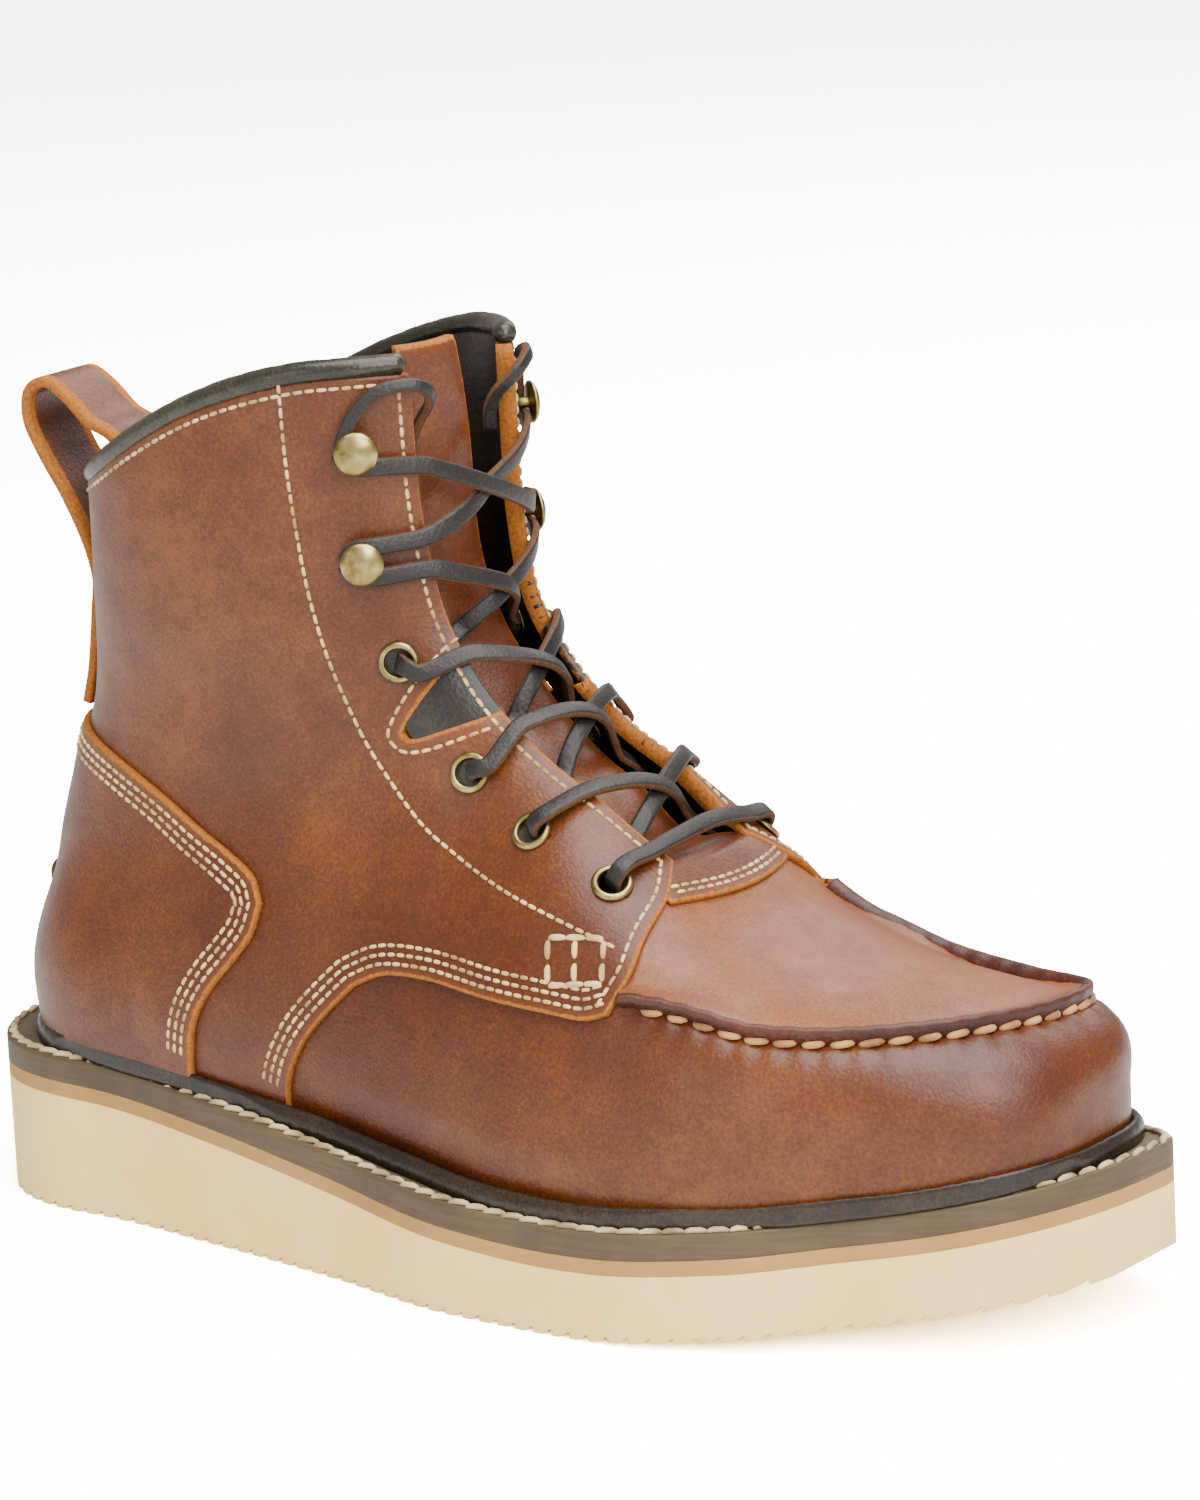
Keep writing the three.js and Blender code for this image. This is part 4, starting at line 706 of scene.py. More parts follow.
def slab(name, stations, low, high, round_low, round_high, material, node, plain=None):
    """Cross sections from heel to toe between two height lines, with rounded rims."""
    outer, inner = sole_edge(stations, -1), sole_edge(stations, 1)
    width = np.maximum(inner - outer, 1e-3)
    turn = np.radians([0, 30, 60, 90])
    side = [(round_low * (1 - math.sin(a)), low + round_low * (1 - math.cos(a))) for a in turn]
    side += [(0 * stations, low + 0.8 if plain is None else plain), (0 * stations, high - round_high - 0.7)]
    side += [(round_high * (1 - math.sin(a)), high - round_high * (1 - math.cos(a))) for a in turn[::-1]]
    rings = []
    for inset, height in side:
        inset = np.minimum(inset, width * 0.45)
        rings.append(np.stack([stations, outer + inset, height], -1))
    for inset, height in side[::-1]:
        inset = np.minimum(inset, width * 0.45)
        rings.append(np.stack([stations, inner - inset, height], -1))
    points, faces = ring_sweep(np.stack(rings, 1))
    return add_piece(name, points, faces, [material], [node])


fine = SOLE_LENGTH * (1 - np.cos(np.linspace(0, math.pi, 181))) / 2
teeth = -5 + TREAD_PITCH * np.arange(math.ceil((SOLE_LENGTH + 10) / TREAD_PITCH))
corners = np.concatenate([teeth, teeth + TREAD_LAND, teeth + TREAD_PITCH - 0.25])
corners = corners[(corners > 0.5) & (corners < SOLE_LENGTH - 0.5)]
stations = np.unique(np.round(np.concatenate([fine, corners]), 3))
stations = stations[np.concatenate([[True], np.diff(stations) > 0.12])]
along_tooth = (stations + 5) % TREAD_PITCH
cut = np.clip((along_tooth - TREAD_LAND) / (TREAD_PITCH - 0.25 - TREAD_LAND), 0, 1)
cut = np.where(along_tooth > TREAD_PITCH - 0.2, 0, cut)
tread = tread_height(stations) + TREAD_DEPTH * cut
slab("crepe_wedge_outsole", stations, tread, ledge_height(stations) - MIDSOLE - STRIP, 0.15, 0.35,
     CREPE, "outsole", tread_height(stations) + TREAD_DEPTH + 0.8)
slab("tan_strip", fine, ledge_height(fine) - MIDSOLE - STRIP, ledge_height(fine) - MIDSOLE + 0.05, 0.3,
     0.3, TAN_RUBBER, "midsole_strip")
slab("ground_midsole", fine, ledge_height(fine) - MIDSOLE + 0.05, ledge_height(fine), 0.3, 0.8,
     GREY_RUBBER, "midsole")

# %% [markdown]
# A panel is one piece of leather. Its four borders are lines on the last, and the inside is filled
# like a sail between four ropes, then pulled onto the last. The cut edges are slightly rounded, and
# extra rows of points lie near them, so the raw edge can be coloured to a fraction of a millimetre.

# %% Panels
BORDER = np.array([0, 0.3, 0.7, 1.3, 2.2, 3.6])


def spread(length, step, fine_start=True, fine_end=True):
    """Shares of a line, closer together near the ends that are cut edges."""
    head = BORDER if fine_start else BORDER[:1]
    tail = length - (BORDER if fine_end else BORDER[:1])[::-1]
    count = max(1, round((tail[0] - head[-1]) / step))
    return np.concatenate([head, np.linspace(head[-1], tail[0], count + 1)[1:-1], tail]) / length


def patch(bottoms, tops, left, right, step, height=None):
    """A grid between borders; bottoms and tops are blocks of line that face each other."""
    low, high = [], []
    for k, (a, b) in enumerate(zip(bottoms, tops)):
        length = (run_of(a)[-1] + run_of(b)[-1]) / 2
        places = spread(length, step, k == 0, k == len(bottoms) - 1)
        low.append(even(a, shares=places)[min(k, 1):])
        high.append(even(b, shares=places)[min(k, 1):])
    low, high = np.concatenate(low), np.concatenate(high)
    places = spread(height or (run_of(left)[-1] + run_of(right)[-1]) / 2, step)
    near, far = even(left, shares=places), even(right, shares=places)
    low[0] = near[0] = (low[0] + near[0]) / 2
    low[-1] = far[0] = (low[-1] + far[0]) / 2
    high[0] = near[-1] = (high[0] + near[-1]) / 2
    high[-1] = far[-1] = (high[-1] + far[-1]) / 2
    u = (run_of(low) / run_of(low)[-1] + run_of(high) / run_of(high)[-1]) / 2
    u, v = u[None, :, None], places[:, None, None]
    sides = (1 - v) * low + v * high + (1 - u) * near[:, None] + u * far[:, None]
    ends = (1 - v) * ((1 - u) * low[0] + u * low[-1]) + v * ((1 - u) * high[0] + u * high[-1])
    return on_leather(sides - ends)


def from_borders(grid, names):
    """Distance in mm from every point of a grid to the nearest of the named borders."""
    rise = np.linalg.norm(np.diff(grid, axis=0), axis=-1)
    rise = np.concatenate([np.zeros((1, grid.shape[1])), np.cumsum(rise, 0)])
    run = np.linalg.norm(np.diff(grid, axis=1), axis=-1)
    run = np.concatenate([np.zeros((grid.shape[0], 1)), np.cumsum(run, 1)], axis=1)
    found = {"bottom": rise, "top": rise[-1:] - rise, "left": run, "right": run[:, -1:] - run}
    return np.minimum.reduce([found[name] for name in names] or [np.full(rise.shape, 99.0)])


def shell(top, bottom):
    """Points and faces of a closed sheet from its two faces, and each face's kind: 0 top, 1 bottom."""
    rows, columns = top.shape[:2]
    count = rows * columns
    rim = [*range(columns), *[r * columns + columns - 1 for r in range(1, rows)],
           *[(rows - 1) * columns + c for c in range(columns - 2, -1, -1)],
           *[r * columns for r in range(rows - 2, 0, -1)]]
    after = rim[1:] + rim[:1]
    walls = [[a, b, b + count, a + count] for a, b in zip(rim, after)]
    faces = [*grid_faces(rows, columns).tolist(), *grid_faces(rows, columns, count).tolist(), *walls]
    flat = (rows - 1) * (columns - 1)
    kinds = [0] * flat + [1] * flat + [0] * len(walls)
    return np.concatenate([top.reshape(-1, 3), bottom.reshape(-1, 3)]), faces, kinds


def panel(name, grid, lift, thick, raw, node, rounding=0.6, materials=None, bare=None):
    """lift is the outer face over the last and thick goes in from there; raw names the cut edges."""
    out = outward(grid)
    away = from_borders(grid, raw)
    curve = 1 - np.clip(away / rounding, 0, 1)
    drop = rounding * (1 - np.sqrt(1 - curve ** 2)) * 0.8
    lift = np.broadcast_to(lift, away.shape)
    top = grid + out * (lift - drop)[..., None]
    bottom = grid + out * (lift - thick)[..., None]
    points, faces, kinds = shell(top, bottom)
    edge = away if bare is None else bare
    return add_piece(name, points, faces, materials or [BROWN_LEATHER, LINING], node,
                     face_material=kinds, edge=np.concatenate([edge.ravel(), edge.ravel()]))


def cut_out(piece, cutter_points, cutter_faces, material):
    """Takes a closed shape out of a piece; the new faces get the material given."""
    mesh = bpy.data.meshes.new("cutter")
    mesh.from_pydata(((cutter_points + SHIFT) / 1000).tolist(), [], [list(f) for f in cutter_faces])
    mesh.materials.append(material)
    mesh.attributes.new("edge", "FLOAT", "POINT").data.foreach_set("value", np.zeros(len(mesh.vertices)))
    work = bmesh.new()
    work.from_mesh(mesh)
    bmesh.ops.recalc_face_normals(work, faces=work.faces)
    work.to_mesh(mesh)
    work.free()
    cutter = bpy.data.objects.new("cutter", mesh)
    bpy.context.scene.collection.objects.link(cutter)
    change = piece.modifiers.new("cut", "BOOLEAN")
    change.object, change.operation, change.solver = cutter, "DIFFERENCE", "EXACT"
    change.material_mode = "TRANSFER"
    bpy.context.view_layer.update()
    evaluated = piece.evaluated_get(bpy.context.evaluated_depsgraph_get())
    piece.data = bpy.data.meshes.new_from_object(evaluated)
    piece.modifiers.clear()
    bpy.data.objects.remove(cutter)


print("rows of points near a cut edge, in mm from it:", BORDER)

# %% [markdown]
# The two quarters wrap the heel and the shaft and meet in a seam up the back. Each has a wing that
# runs forward over the vamp and ends in a raw cut edge, and a notch between the upper eyelets where
# the black leather below shows. The eyelet holes are punched through.

# %% Quarters
EYELETS = [(0.632, 0.735, 1.010), (0.559, 0.690, 1.112), (0.498, 0.640, 1.235), (0.440, 0.655, 1.490)]
HOOKS = [(0.420, 0.725, 1.740), (0.419, 0.725, 2.010)]
NOTCH = np.array([
    (145.7, 141.5), (136.2, 126.2), (135.4, 124.0), (136.6, 122.6), (139.2, 122.8), (154.5, 128.2),
    (160.0, 131.0), (153.0, 147.0),
])
NOTCH_EDGES = 5
HOLE_RADIUS = 3.6
WING_THICK = 1.9
BACKING_FROM, BACKING_TO, BACKING_WIDTH = 113, 152, 25.0


def back_line(low, high, count=80):
    z = np.linspace(low, high, count)
    x = shaft_back((z - HEEL_HEIGHT) / SHAFT_RISE) * SOLE_LENGTH
    return on_leather(np.stack([x, 0 * z, z], -1), level=True)


def eyestay_spot(row, side):
    at = on_leather(np.array([row[0] * SOLE_LENGTH, side * row[1] * SHAFT_WIDTH / 2, row[2] * INSTEP_RISE]))
    out = outward(at)
    front = unit(np.array([0.0, -side, 0.0]) + out * side * out[1])
    up = unit(np.cross(out, front) * side)
    return {"at": at, "out": out, "front": front, "up": up if up[2] > 0 else -up, "side": side}


def turned_rings(spot, profile, segments):
    angles = np.linspace(0, 2 * math.pi, segments, endpoint=False)
    r, h = np.array(profile, float).T
    ring = (np.cos(angles)[:, None, None] * spot["front"] + np.sin(angles)[:, None, None] * spot["up"])
    return spot["at"] + ring * r[None, :, None] + spot["out"] * h[None, :, None]


def cut_notch(piece, side):
    """Cuts the notch straight through from the side."""
    n = len(NOTCH)
    block = [(x, y, z) for y in (0.0, side * BALL_WIDTH) for x, z in NOTCH]
    walls = [[i, (i + 1) % n, (i + 1) % n + n, i + n] for i in range(n)]
    cut_out(piece, np.array(block), [list(range(n)), list(range(n, 2 * n)), *walls], BROWN_LEATHER)


def mark_notch(piece):
    """Stores on each point how far it lies from the notch's cut edges, seen from the side."""
    mesh = piece.data
    places = np.empty(len(mesh.vertices) * 3)
    mesh.vertices.foreach_get("co", places)
    places = (places.reshape(-1, 3) * 1000 - SHIFT)[:, [0, 2]]
    gaps = []
    for a, b in zip(NOTCH[:NOTCH_EDGES], NOTCH[1:]):
        t = np.clip(((places - a) @ (b - a)) / ((b - a) @ (b - a)), 0, 1)[:, None]
        gaps.append(np.linalg.norm(places - a - t * (b - a), axis=1))
    marks = mesh.attributes["edge"].data
    known = np.empty(len(marks))
    marks.foreach_get("value", known)
    marks.foreach_set("value", np.minimum(known, np.min(gaps, axis=0)))


eyelet_spots = {side: [eyestay_spot(row, side) for row in EYELETS] for side in (-1, 1)}
hook_spots = {side: [eyestay_spot(row, side) for row in HOOKS] for side in (-1, 1)}
print("eyelets and hooks:", len(EYELETS), "and", len(HOOKS), "a side")

# %% [markdown]
# Where the wing is stitched down, the quarter's edge lies flat on the vamp with nothing under it, so
# the panel is thinner there than at the shaft, where it stands for the quarter and what backs it. The
# borders are kept, because the binding and the rows of stitches follow them later. The holes and the
# notch are cut with a boolean, which leaves the true thickness of the leather to be seen in them.

# %% Cutting the quarters
quarter_borders = {}
for side, word in SIDES:
    collar = rim_line(side, 0, COLLAR_CORNER)
    throat_top = rim_line(side, COLLAR_CORNER, 0.5)
    throat_low = rim_line(side, 0.5, THROAT_END)
    front = on_leather(smooth_line(mirrored(FRONT_EDGE, side), step=1))
    lower = on_leather(smooth_line(mirrored(LOWER_EDGE, side), step=1))
    foot = foot_line(side, 0, along_sole(RISING_EDGE[-1][0]))
    rising = mirrored(RISING_EDGE, side)
    rising[-1] = foot[-1]
    rising = on_leather(smooth_line(rising, step=1))
    back_seam = back_line(foot[0][2], collar[0][2])
    grid = patch([foot, rising[::-1], lower[::-1]], [collar, throat_top, throat_low], back_seam,
                 front[::-1], 2.4, height=120)
    quarter_borders[side] = {"collar": collar, "throat": np.concatenate([throat_top, throat_low[1:]]),
                             "front": front, "lower": np.concatenate([lower, rising[1:]])}
    from_wing = from_borders(grid, ["bottom"])
    past_foot = ease((grid[0, :, 0] - 100) / 12)[None, :]
    thick = WALL - (WALL - WING_THICK) * (1 - ease((from_wing - 7) / 8)) * past_foot
    from_front = from_borders(grid, ["right"])
    thick = thick - (thick - WING_THICK) * (1 - ease((from_front - 3) / 6)) * past_foot
    under_binding = run_of(grid[-1]) < run_of(collar)[-1] - 1
    raw = np.minimum(from_borders(grid, ["bottom", "right"]),
                     from_borders(grid, ["top"]) + 9 * under_binding[None, :])
    piece = panel(f"{word}_quarter", grid, 0.15, thick, ["bottom", "top", "right"],
                  ["upper"], materials=[BROWN_LEATHER, BROWN_LEATHER], bare=raw)
    cut_notch(piece, side)
    for spot in eyelet_spots[side]:
        ends = turned_rings(spot, [(HOLE_RADIUS, -8), (HOLE_RADIUS, 4)], 20).transpose(1, 0, 2)
        points, faces = ring_sweep(ends)
        cut_out(piece, points, faces, BLACK_LEATHER)
    mark_notch(piece)
    print(word, "quarter cut:", len(piece.data.polygons), "faces")
    behind = quarter_borders[side]["throat"]
    behind = behind[(behind[:, 2] > BACKING_FROM) & (behind[:, 2] < BACKING_TO)]
    deep = beside(behind, BACKING_WIDTH, side)
    ends = [np.linspace(behind[k], deep[k], 12) for k in (0, -1)]
    grid = patch([behind], [deep], *ends, 2.0)
    panel(f"{word}_notch_backing", grid, -0.15, 2.1, [], ["upper"],
          materials=[BLACK_LEATHER, BLACK_LEATHER], bare=from_borders(grid, ["bottom"]))

# %% [markdown]
# The vamp is one strip of leather that runs round the toe. Its top edge is drawn in by the moc
# stitches, so it puckers a little at each of them. The plug is the flat piece on top, drawn lighter than
# the vamp as a painted highlight. Its edge is turned up and stands a few millimetres proud, as a lip
# drawn darker as painted shade, with the thread running at its foot.

# %% Vamp
VAMP_FROM = along_sole(UNDER_QUARTER[0][0])
VAMP_BALL = 200.0
STITCH_PITCH = 6.3
sides = {}
for side in (-1, 1):
    hidden = on_leather(smooth_line(mirrored(UNDER_QUARTER, side), step=1))
    sides[side] = {"hidden": hidden, "foot": foot_line(side, VAMP_FROM, VAMP_BALL),
                   "tip": foot_line(side, VAMP_BALL, SOLE_LENGTH)}
sides[-1]["hidden"][-1], sides[1]["hidden"][-1] = seam[0], seam[-1]
bottoms = [sides[-1]["foot"], np.concatenate([sides[-1]["tip"], sides[1]["tip"][::-1][1:]]),
           sides[1]["foot"][::-1]]
tops = [sides[-1]["hidden"], seam, sides[1]["hidden"][::-1]]
ends = [on_leather(np.linspace(b, t, 30)) for b, t in
        ((bottoms[0][0], tops[0][0]), (bottoms[2][-1], tops[2][-1]))]
grid = patch(bottoms, tops, *ends, 1.6, height=52)
top_run = run_of(grid[-1]) - run_of(tops[0])[-1]
on_seam = ease(top_run / 12) * ease((run_of(seam)[-1] - top_run) / 12)
down = from_borders(grid, ["top"])
pucker = 0.32 * np.cos(2 * math.pi * top_run / STITCH_PITCH) * on_seam * np.exp(-((down - 3.5) / 3.2) ** 2)
gather = -0.55 * on_seam * np.exp(-((down - 1.0) / 1.2) ** 2)
panel("vamp", grid, pucker + gather - vamp_drop(grid[..., 0]), VAMP - 0.2, ["top"],
      ["upper"])

# %% [markdown]
# The plug's grid is bent up near its edge. The lip is a strip of its own, swept along the seam, whose
# inner foot stands in the bend, so the two read as one folded edge. It waves a little with each stitch.

# %% Plug and lip

first = int(np.argmax(seam[:, 0] > 0.80 * SOLE_LENGTH))
last = len(seam) - 1 - int(np.argmax(seam[::-1, 0] > 0.82 * SOLE_LENGTH))
back_plan = smooth_line([seam[0], (199, -36, 0), (200, -20, 0), (204, -10, 0), (206, 0, 0),
                         (204, 10, 0), (200, 20, 0), (202, 30, 0), seam[-1]], step=1)
back_edge = crown(back_plan[:, 0], back_plan[:, 1])
grid = patch([back_edge], [seam[first:last + 1]], seam[:first + 1], seam[last:][::-1], 1.8, height=62)
inward = from_borders(grid, ["top", "left", "right"])
turned_up = 3.3 * np.clip(1 - inward / 8.5, 0, 1) ** 2.4
# The plug's lighter leather is a painted highlight.
panel("moc_plug", grid, turned_up - vamp_drop(grid[..., 0]), VAMP - 0.2 + turned_up * 0.4,
      ["top", "left", "right"], ["upper"], rounding=0.3,
      materials=[PLUG_LEATHER_PAINTED_HIGHLIGHT, LINING], bare=np.full(inward.shape, 9.0))

lip_seam = even(seam, step=0.8)
lip_out = outward(lip_seam)
lip_across = unit(np.cross(unit(np.gradient(lip_seam, axis=0)), lip_out))
LIP = np.array([(0.9, -1.6), (1.15, -0.6), (1.2, 0.4), (1.15, 1.6), (1.0, 2.7), (0.72, 3.35), (0.3, 3.68),
                (-0.2, 3.7), (-0.7, 3.45), (-1.2, 3.0), (-1.6, 2.0), (-1.6, -1.6)])
phase = 2 * math.pi * run_of(lip_seam) / STITCH_PITCH
wave = 0.14 * np.cos(phase)[:, None, None]
lift = (LIP[:, 1][None, :] - vamp_drop(lip_seam[:, 0])[:, None])[..., None]
rings = lip_seam[:, None] + lip_across[:, None] * (LIP[:, 0][None, :, None] + wave)
rings = rings + lip_out[:, None] * lift
points, faces = ring_sweep(rings)
lip_edge = np.tile(np.where(np.abs(LIP[:, 0] + 0.1) < 0.9, 1.7, 9.0), len(lip_seam))
# The lip's darker leather is painted shade on its upright face.
add_piece("moc_lip", points, faces, [LIP_LEATHER_PAINTED_SHADE], ["upper"], edge=lip_edge)

# %% [markdown]
# The counter cups the heel over the quarters. Between the upper and the sole runs the storm welt, a
# strip of dark leather with a rounded bead that keeps water out of the seam. Low at the back sits the
# kick lug, a small roll of leather that the other foot pushes on when the boot comes off.

# %% Counter, storm welt and kick lug
counter_lines = {}
for side in (-1, 1):
    counter_lines[side] = {
        "front": on_leather(smooth_line(mirrored(COUNTER_FRONT, side), step=1)),
        "top": on_leather(smooth_line(mirrored(COUNTER_TOP, side), step=1)),
    }
heel_from = along_sole(77.0)
heel = [foot_line(side, 0, heel_from) for side in (-1, 1)]
for side, line in ((-1, heel[0]), (1, heel[1])):
    counter_lines[side]["front"][0] = line[-1]
heel_bottom = np.concatenate([heel[0][::-1], heel[1][1:]])
heel_top = np.concatenate([counter_lines[-1]["top"], counter_lines[1]["top"][::-1][1:]])
grid = patch([heel_bottom], [heel_top], counter_lines[-1]["front"], counter_lines[1]["front"], 2.0,
             height=64)
COUNTER_LIFT = 0.15 + COUNTER + 0.1
panel("heel_counter", grid, COUNTER_LIFT, COUNTER + 0.3, ["top", "left", "right"],
      ["counter"])

BEAD_WIDTH, BEAD_HEIGHT = 2.8, 5.0
around_foot = np.concatenate([foot_line(-1, 0, SOLE_LENGTH, 260), foot_line(1, SOLE_LENGTH, 0, 260)[1:-1]])
around_foot = even(np.concatenate([around_foot, around_foot[:1]]), step=1.3)[:-1]
around_foot = on_leather(around_foot, level=True)
level_out = outward(around_foot)
level_out[:, 2] = 0
level_out = unit(level_out)
high = on_leather(around_foot + [0, 0, BEAD_HEIGHT], level=True)
reach = np.maximum(((high - around_foot) * level_out).sum(-1), 0)
BEAD = np.array([(0.0, 0.05), (1.02, 0.05), (1.06, 0.25), (1.03, 0.5), (0.9, 0.74), (0.7, 0.92), (0.48, 1.0),
                 (0.26, 0.97), (0.08, 0.84), (-0.05, 0.62)])
run = run_of(around_foot)
wrinkle = 1 + 0.025 * np.sin(run * 1.9) * np.sin(run * 0.53 + 1) + 0.02 * np.sin(run * 0.17)
away = reach[:, None] * (BEAD[:, 0] > 0.02) + BEAD[:, 0] * BEAD_WIDTH * wrinkle[:, None]
sole_rim = np.concatenate([np.column_stack([plan_x, sole_edge(plan_x, side)]) for side in (-1, 1)])
to_rim = np.linalg.norm(around_foot[:, None, :2] - sole_rim[None, ::2], axis=-1).min(1)
away = np.minimum(away, np.maximum(to_rim - 2.7, reach + 1.7)[:, None])
spots = around_foot[:, None] + level_out[:, None] * away[..., None]
spots[..., 2] = ledge_height(spots[..., 0]) + BEAD[:, 1] * BEAD_HEIGHT * wrinkle[:, None]
points, faces = ring_sweep(spots, closed=True)
add_piece("storm_welt_bead", points, faces, [WELT_LEATHER], ["storm_welt"])

lug_back = back_line(72, 72.1, 2)[0]
turns = np.linspace(0, 2 * math.pi, 24, endpoint=False)
rings = []
for y in np.linspace(-5.6, 5.6, 15):
    swell = math.sqrt(max(1 - (abs(y) / 6.0) ** 4, 0.02))
    groove = 1 - 0.16 * math.exp(-(y / 0.9) ** 2)
    rings.append([lug_back + [-1.9 - 2.6 - 2.3 * math.cos(a) * swell * groove, y,
                              3.9 * math.sin(a) * swell] for a in turns])
points, faces = ring_sweep(rings)
lug_edge = np.tile(np.where(np.abs(np.sin(turns / 2 - 0.4)) < 0.12, 0.2, 9), 15)
add_piece("kick_lug_roll", points, faces, [BROWN_LEATHER], ["kick_lug"], edge=lug_edge)

# %% [markdown]
# The collar's raw edge is covered by a strip of thin waxed leather rolled over a cord, so it feels
# round against the ankle. It runs from one front corner round the back to the other. Its thickness
# wanders a little, as a hand-guided strip does.

# %% Collar binding
collar_edge = np.concatenate([quarter_borders[1]["collar"][::-1], quarter_borders[-1]["collar"][1:]])
collar_edge = even(collar_edge, step=1.5)
middle = collar_edge - outward(collar_edge) * 1.7
middle[:, 2] = collar_edge[:, 2] + 1.9
along = unit(np.gradient(middle, axis=0))
sideways = unit(np.cross(along, [0.0, 0.0, 1.0]))
upwards = np.cross(sideways, along)
turns = np.linspace(0, 2 * math.pi, 20, endpoint=False)
run = run_of(middle)
size = 1 + 0.03 * np.sin(run * 0.9) * np.sin(run * 0.31 + 2) + 0.03 * np.sin(run * 0.12)
size *= np.sqrt(np.clip(np.minimum(run, run[-1] - run) / 1.6, 0.05, 1))
ring = 2.7 * np.cos(turns)[None, :, None] * sideways[:, None]
ring = ring + (2.6 * np.sin(turns))[None, :, None] * upwards[:, None]
points, faces = ring_sweep(middle[:, None] + ring * size[:, None, None])
add_piece("collar_roll", points, faces, [BINDING_LEATHER], ["collar_binding"])

# %% [markdown]
# The tongue is a long flap sewn to the plug at its base. From there it dives under the laces and
# stands up inside the throat. Two thin bellows of black leather fold out from under its edges to the
# quarters, to keep water and grit out. All three follow the instep.

# %% Tongue
TONGUE = 2.6
TONGUE_DEPTH = WALL + LACE_THICK + SEAT + 6 * GAP
TONGUE_LINE = np.array([
    # x, z, how far down, outer and inner half width
    [0.464, 2.232, 1.00, 0.262, 0.060], [0.466, 2.080, 1.00, 0.270, 0.110],
    [0.468, 1.860, 1.00, 0.275, 0.160], [0.474, 1.690, 1.00, 0.270, 0.155],
    [0.487, 1.540, 1.00, 0.265, 0.155], [0.510, 1.400, 1.00, 0.260, 0.160],
    [0.542, 1.290, 1.00, 0.250, 0.165], [0.572, 1.215, 1.00, 0.200, 0.160],
    [0.596, 1.165, 1.00, 0.150, 0.150], [0.616, 1.125, 1.00, 0.145, 0.145],
    [0.632, 1.095, 0.85, 0.150, 0.150], [0.649, 1.065, 0.28, 0.185, 0.185],
    [0.664, 1.035, 0.00, 0.250, 0.250], [0.679, 1.000, 0.00, 0.300, 0.300],
    [0.690, 0.975, 0.00, 0.300, 0.300],
])
tongue_columns = [follow(np.arange(len(TONGUE_LINE)), column) for column in TONGUE_LINE.T]


def throat_rows(first_row, last_row, count):
    t = np.linspace(first_row, last_row, count)
    return [column(t) for column in tongue_columns]


x, z, deep, half_out, half_in = throat_rows(0, 14, 130)
shares = spread(36, 1.3)[None, :]
y = (-half_out[:, None] * (1 - shares) + half_in[:, None] * shares) * SHAFT_WIDTH
arch = 0.010 * y ** 2 * (1 - deep[:, None])
base = on_leather(np.stack([x[:, None] * SOLE_LENGTH - arch, y, 0 * y + z[:, None] * INSTEP_RISE], -1))
FLAP = 1.35
over = FLAP - vamp_drop(base[..., 0])
lift = over * (1 - deep[:, None]) - TONGUE_DEPTH * deep[:, None]
ripple = 0.5 * np.sin(z * 9 + 1.0)[:, None] * np.sin(shares * 5.0 + z[:, None] * 2) * deep[:, None]
thick = FLAP + (TONGUE - FLAP) * deep[:, None] + 0 * y
panel("tongue_flap", base, lift + ripple, thick, ["top", "bottom", "left", "right"],
      ["tongue"])

# %% [markdown]
# Each gusset is a thin black sheet between the tongue's back and the quarter's inside. Rays fan out
# from a line inside the boot and end on the last, and the sheet lies under their ends, deep below the
# tongue and close below the quarter.

# %% Gussets

fan_degrees = np.linspace(28, 97, 22)
fan_lift = follow([28, 64, 82, 97], [0, 0, 0.3, 1.0])
for side, word in SIDES:
    x, z, _, _, _ = throat_rows(2, 8.6, 80)
    spot = on_leather(np.stack([x * SOLE_LENGTH, 0 * x, z * INSTEP_RISE], -1))
    out = outward(spot)
    out[:, 1] = 0
    out = unit(out)
    turn = np.radians(fan_degrees)[None, :, None]
    way = np.sin(turn) * np.array([0, side, 0.0]) + np.cos(turn) * out[:, None]
    start = np.broadcast_to((spot - out * FORM_CORE)[:, None], way.shape)
    base = way_out(start, way)
    low, high = -TONGUE_DEPTH - TONGUE - GAP, -WALL - 0.5
    lift = low + (high - low) * fan_lift(fan_degrees)[None, :] + 0 * base[..., 0]
    fold = 0.45 * np.sin(np.linspace(0, 9, 80))[:, None] * np.sin(np.radians((fan_degrees - 28) * 2.4))
    panel(f"{word}_bellows_gusset", base, lift + fold, 1.0, [], [f"gusset_{word}"],
          materials=[BLACK_LEATHER, BLACK_LEATHER])

# %% [markdown]
# The pull loop is a strap stitched up the back seam. It leaves the shaft, swings out and over in a
# loop wide enough for a finger, and is sewn down again inside the collar. Its cut edges are rough and
# orange, because this strap is undyed split leather with a coloured face.

# %% Pull loop
STRAP_WIDTH, STRAP, LOOP_REACH = 20.0, 2.6, 22.0
LOOP = np.array([
    (-0.29, -0.64), (-0.52, -0.23), (-0.81, 0.18), (-1.00, 0.55), (-0.96, 0.86), (-0.72, 0.98),
    (-0.43, 0.84), (-0.13, 0.59), (0.17, 0.45), (0.35, 0.20), (0.37, -0.18), (0.35, -0.55),
])
rim_back = quarter_borders[-1]["collar"][0]
strap_from, strap_leaves = 1.225 * INSTEP_RISE + 2, rim_back[2] - 1.1 * LOOP_REACH
stitched_down = back_line(strap_from, strap_leaves, 5) - [SEAT + STRAP / 2 - 0.3, 0, 0]
in_loop = np.column_stack([rim_back[0] + LOOP[:, 0] * LOOP_REACH, np.zeros(len(LOOP)),
                           rim_back[2] + LOOP[:, 1] * LOOP_REACH])
strap = smooth_line(np.concatenate([stitched_down, in_loop]), step=1.0)
along = unit(np.gradient(strap, axis=0))
outer_face = np.stack([-along[:, 2], 0 * along[:, 0], along[:, 0]], -1)
steps = STRAP_WIDTH / 2 - np.array([0, 0.2, 0.7, 1.4, 2.5, 5, 8])
steps = np.concatenate([-steps, steps[::-1]])
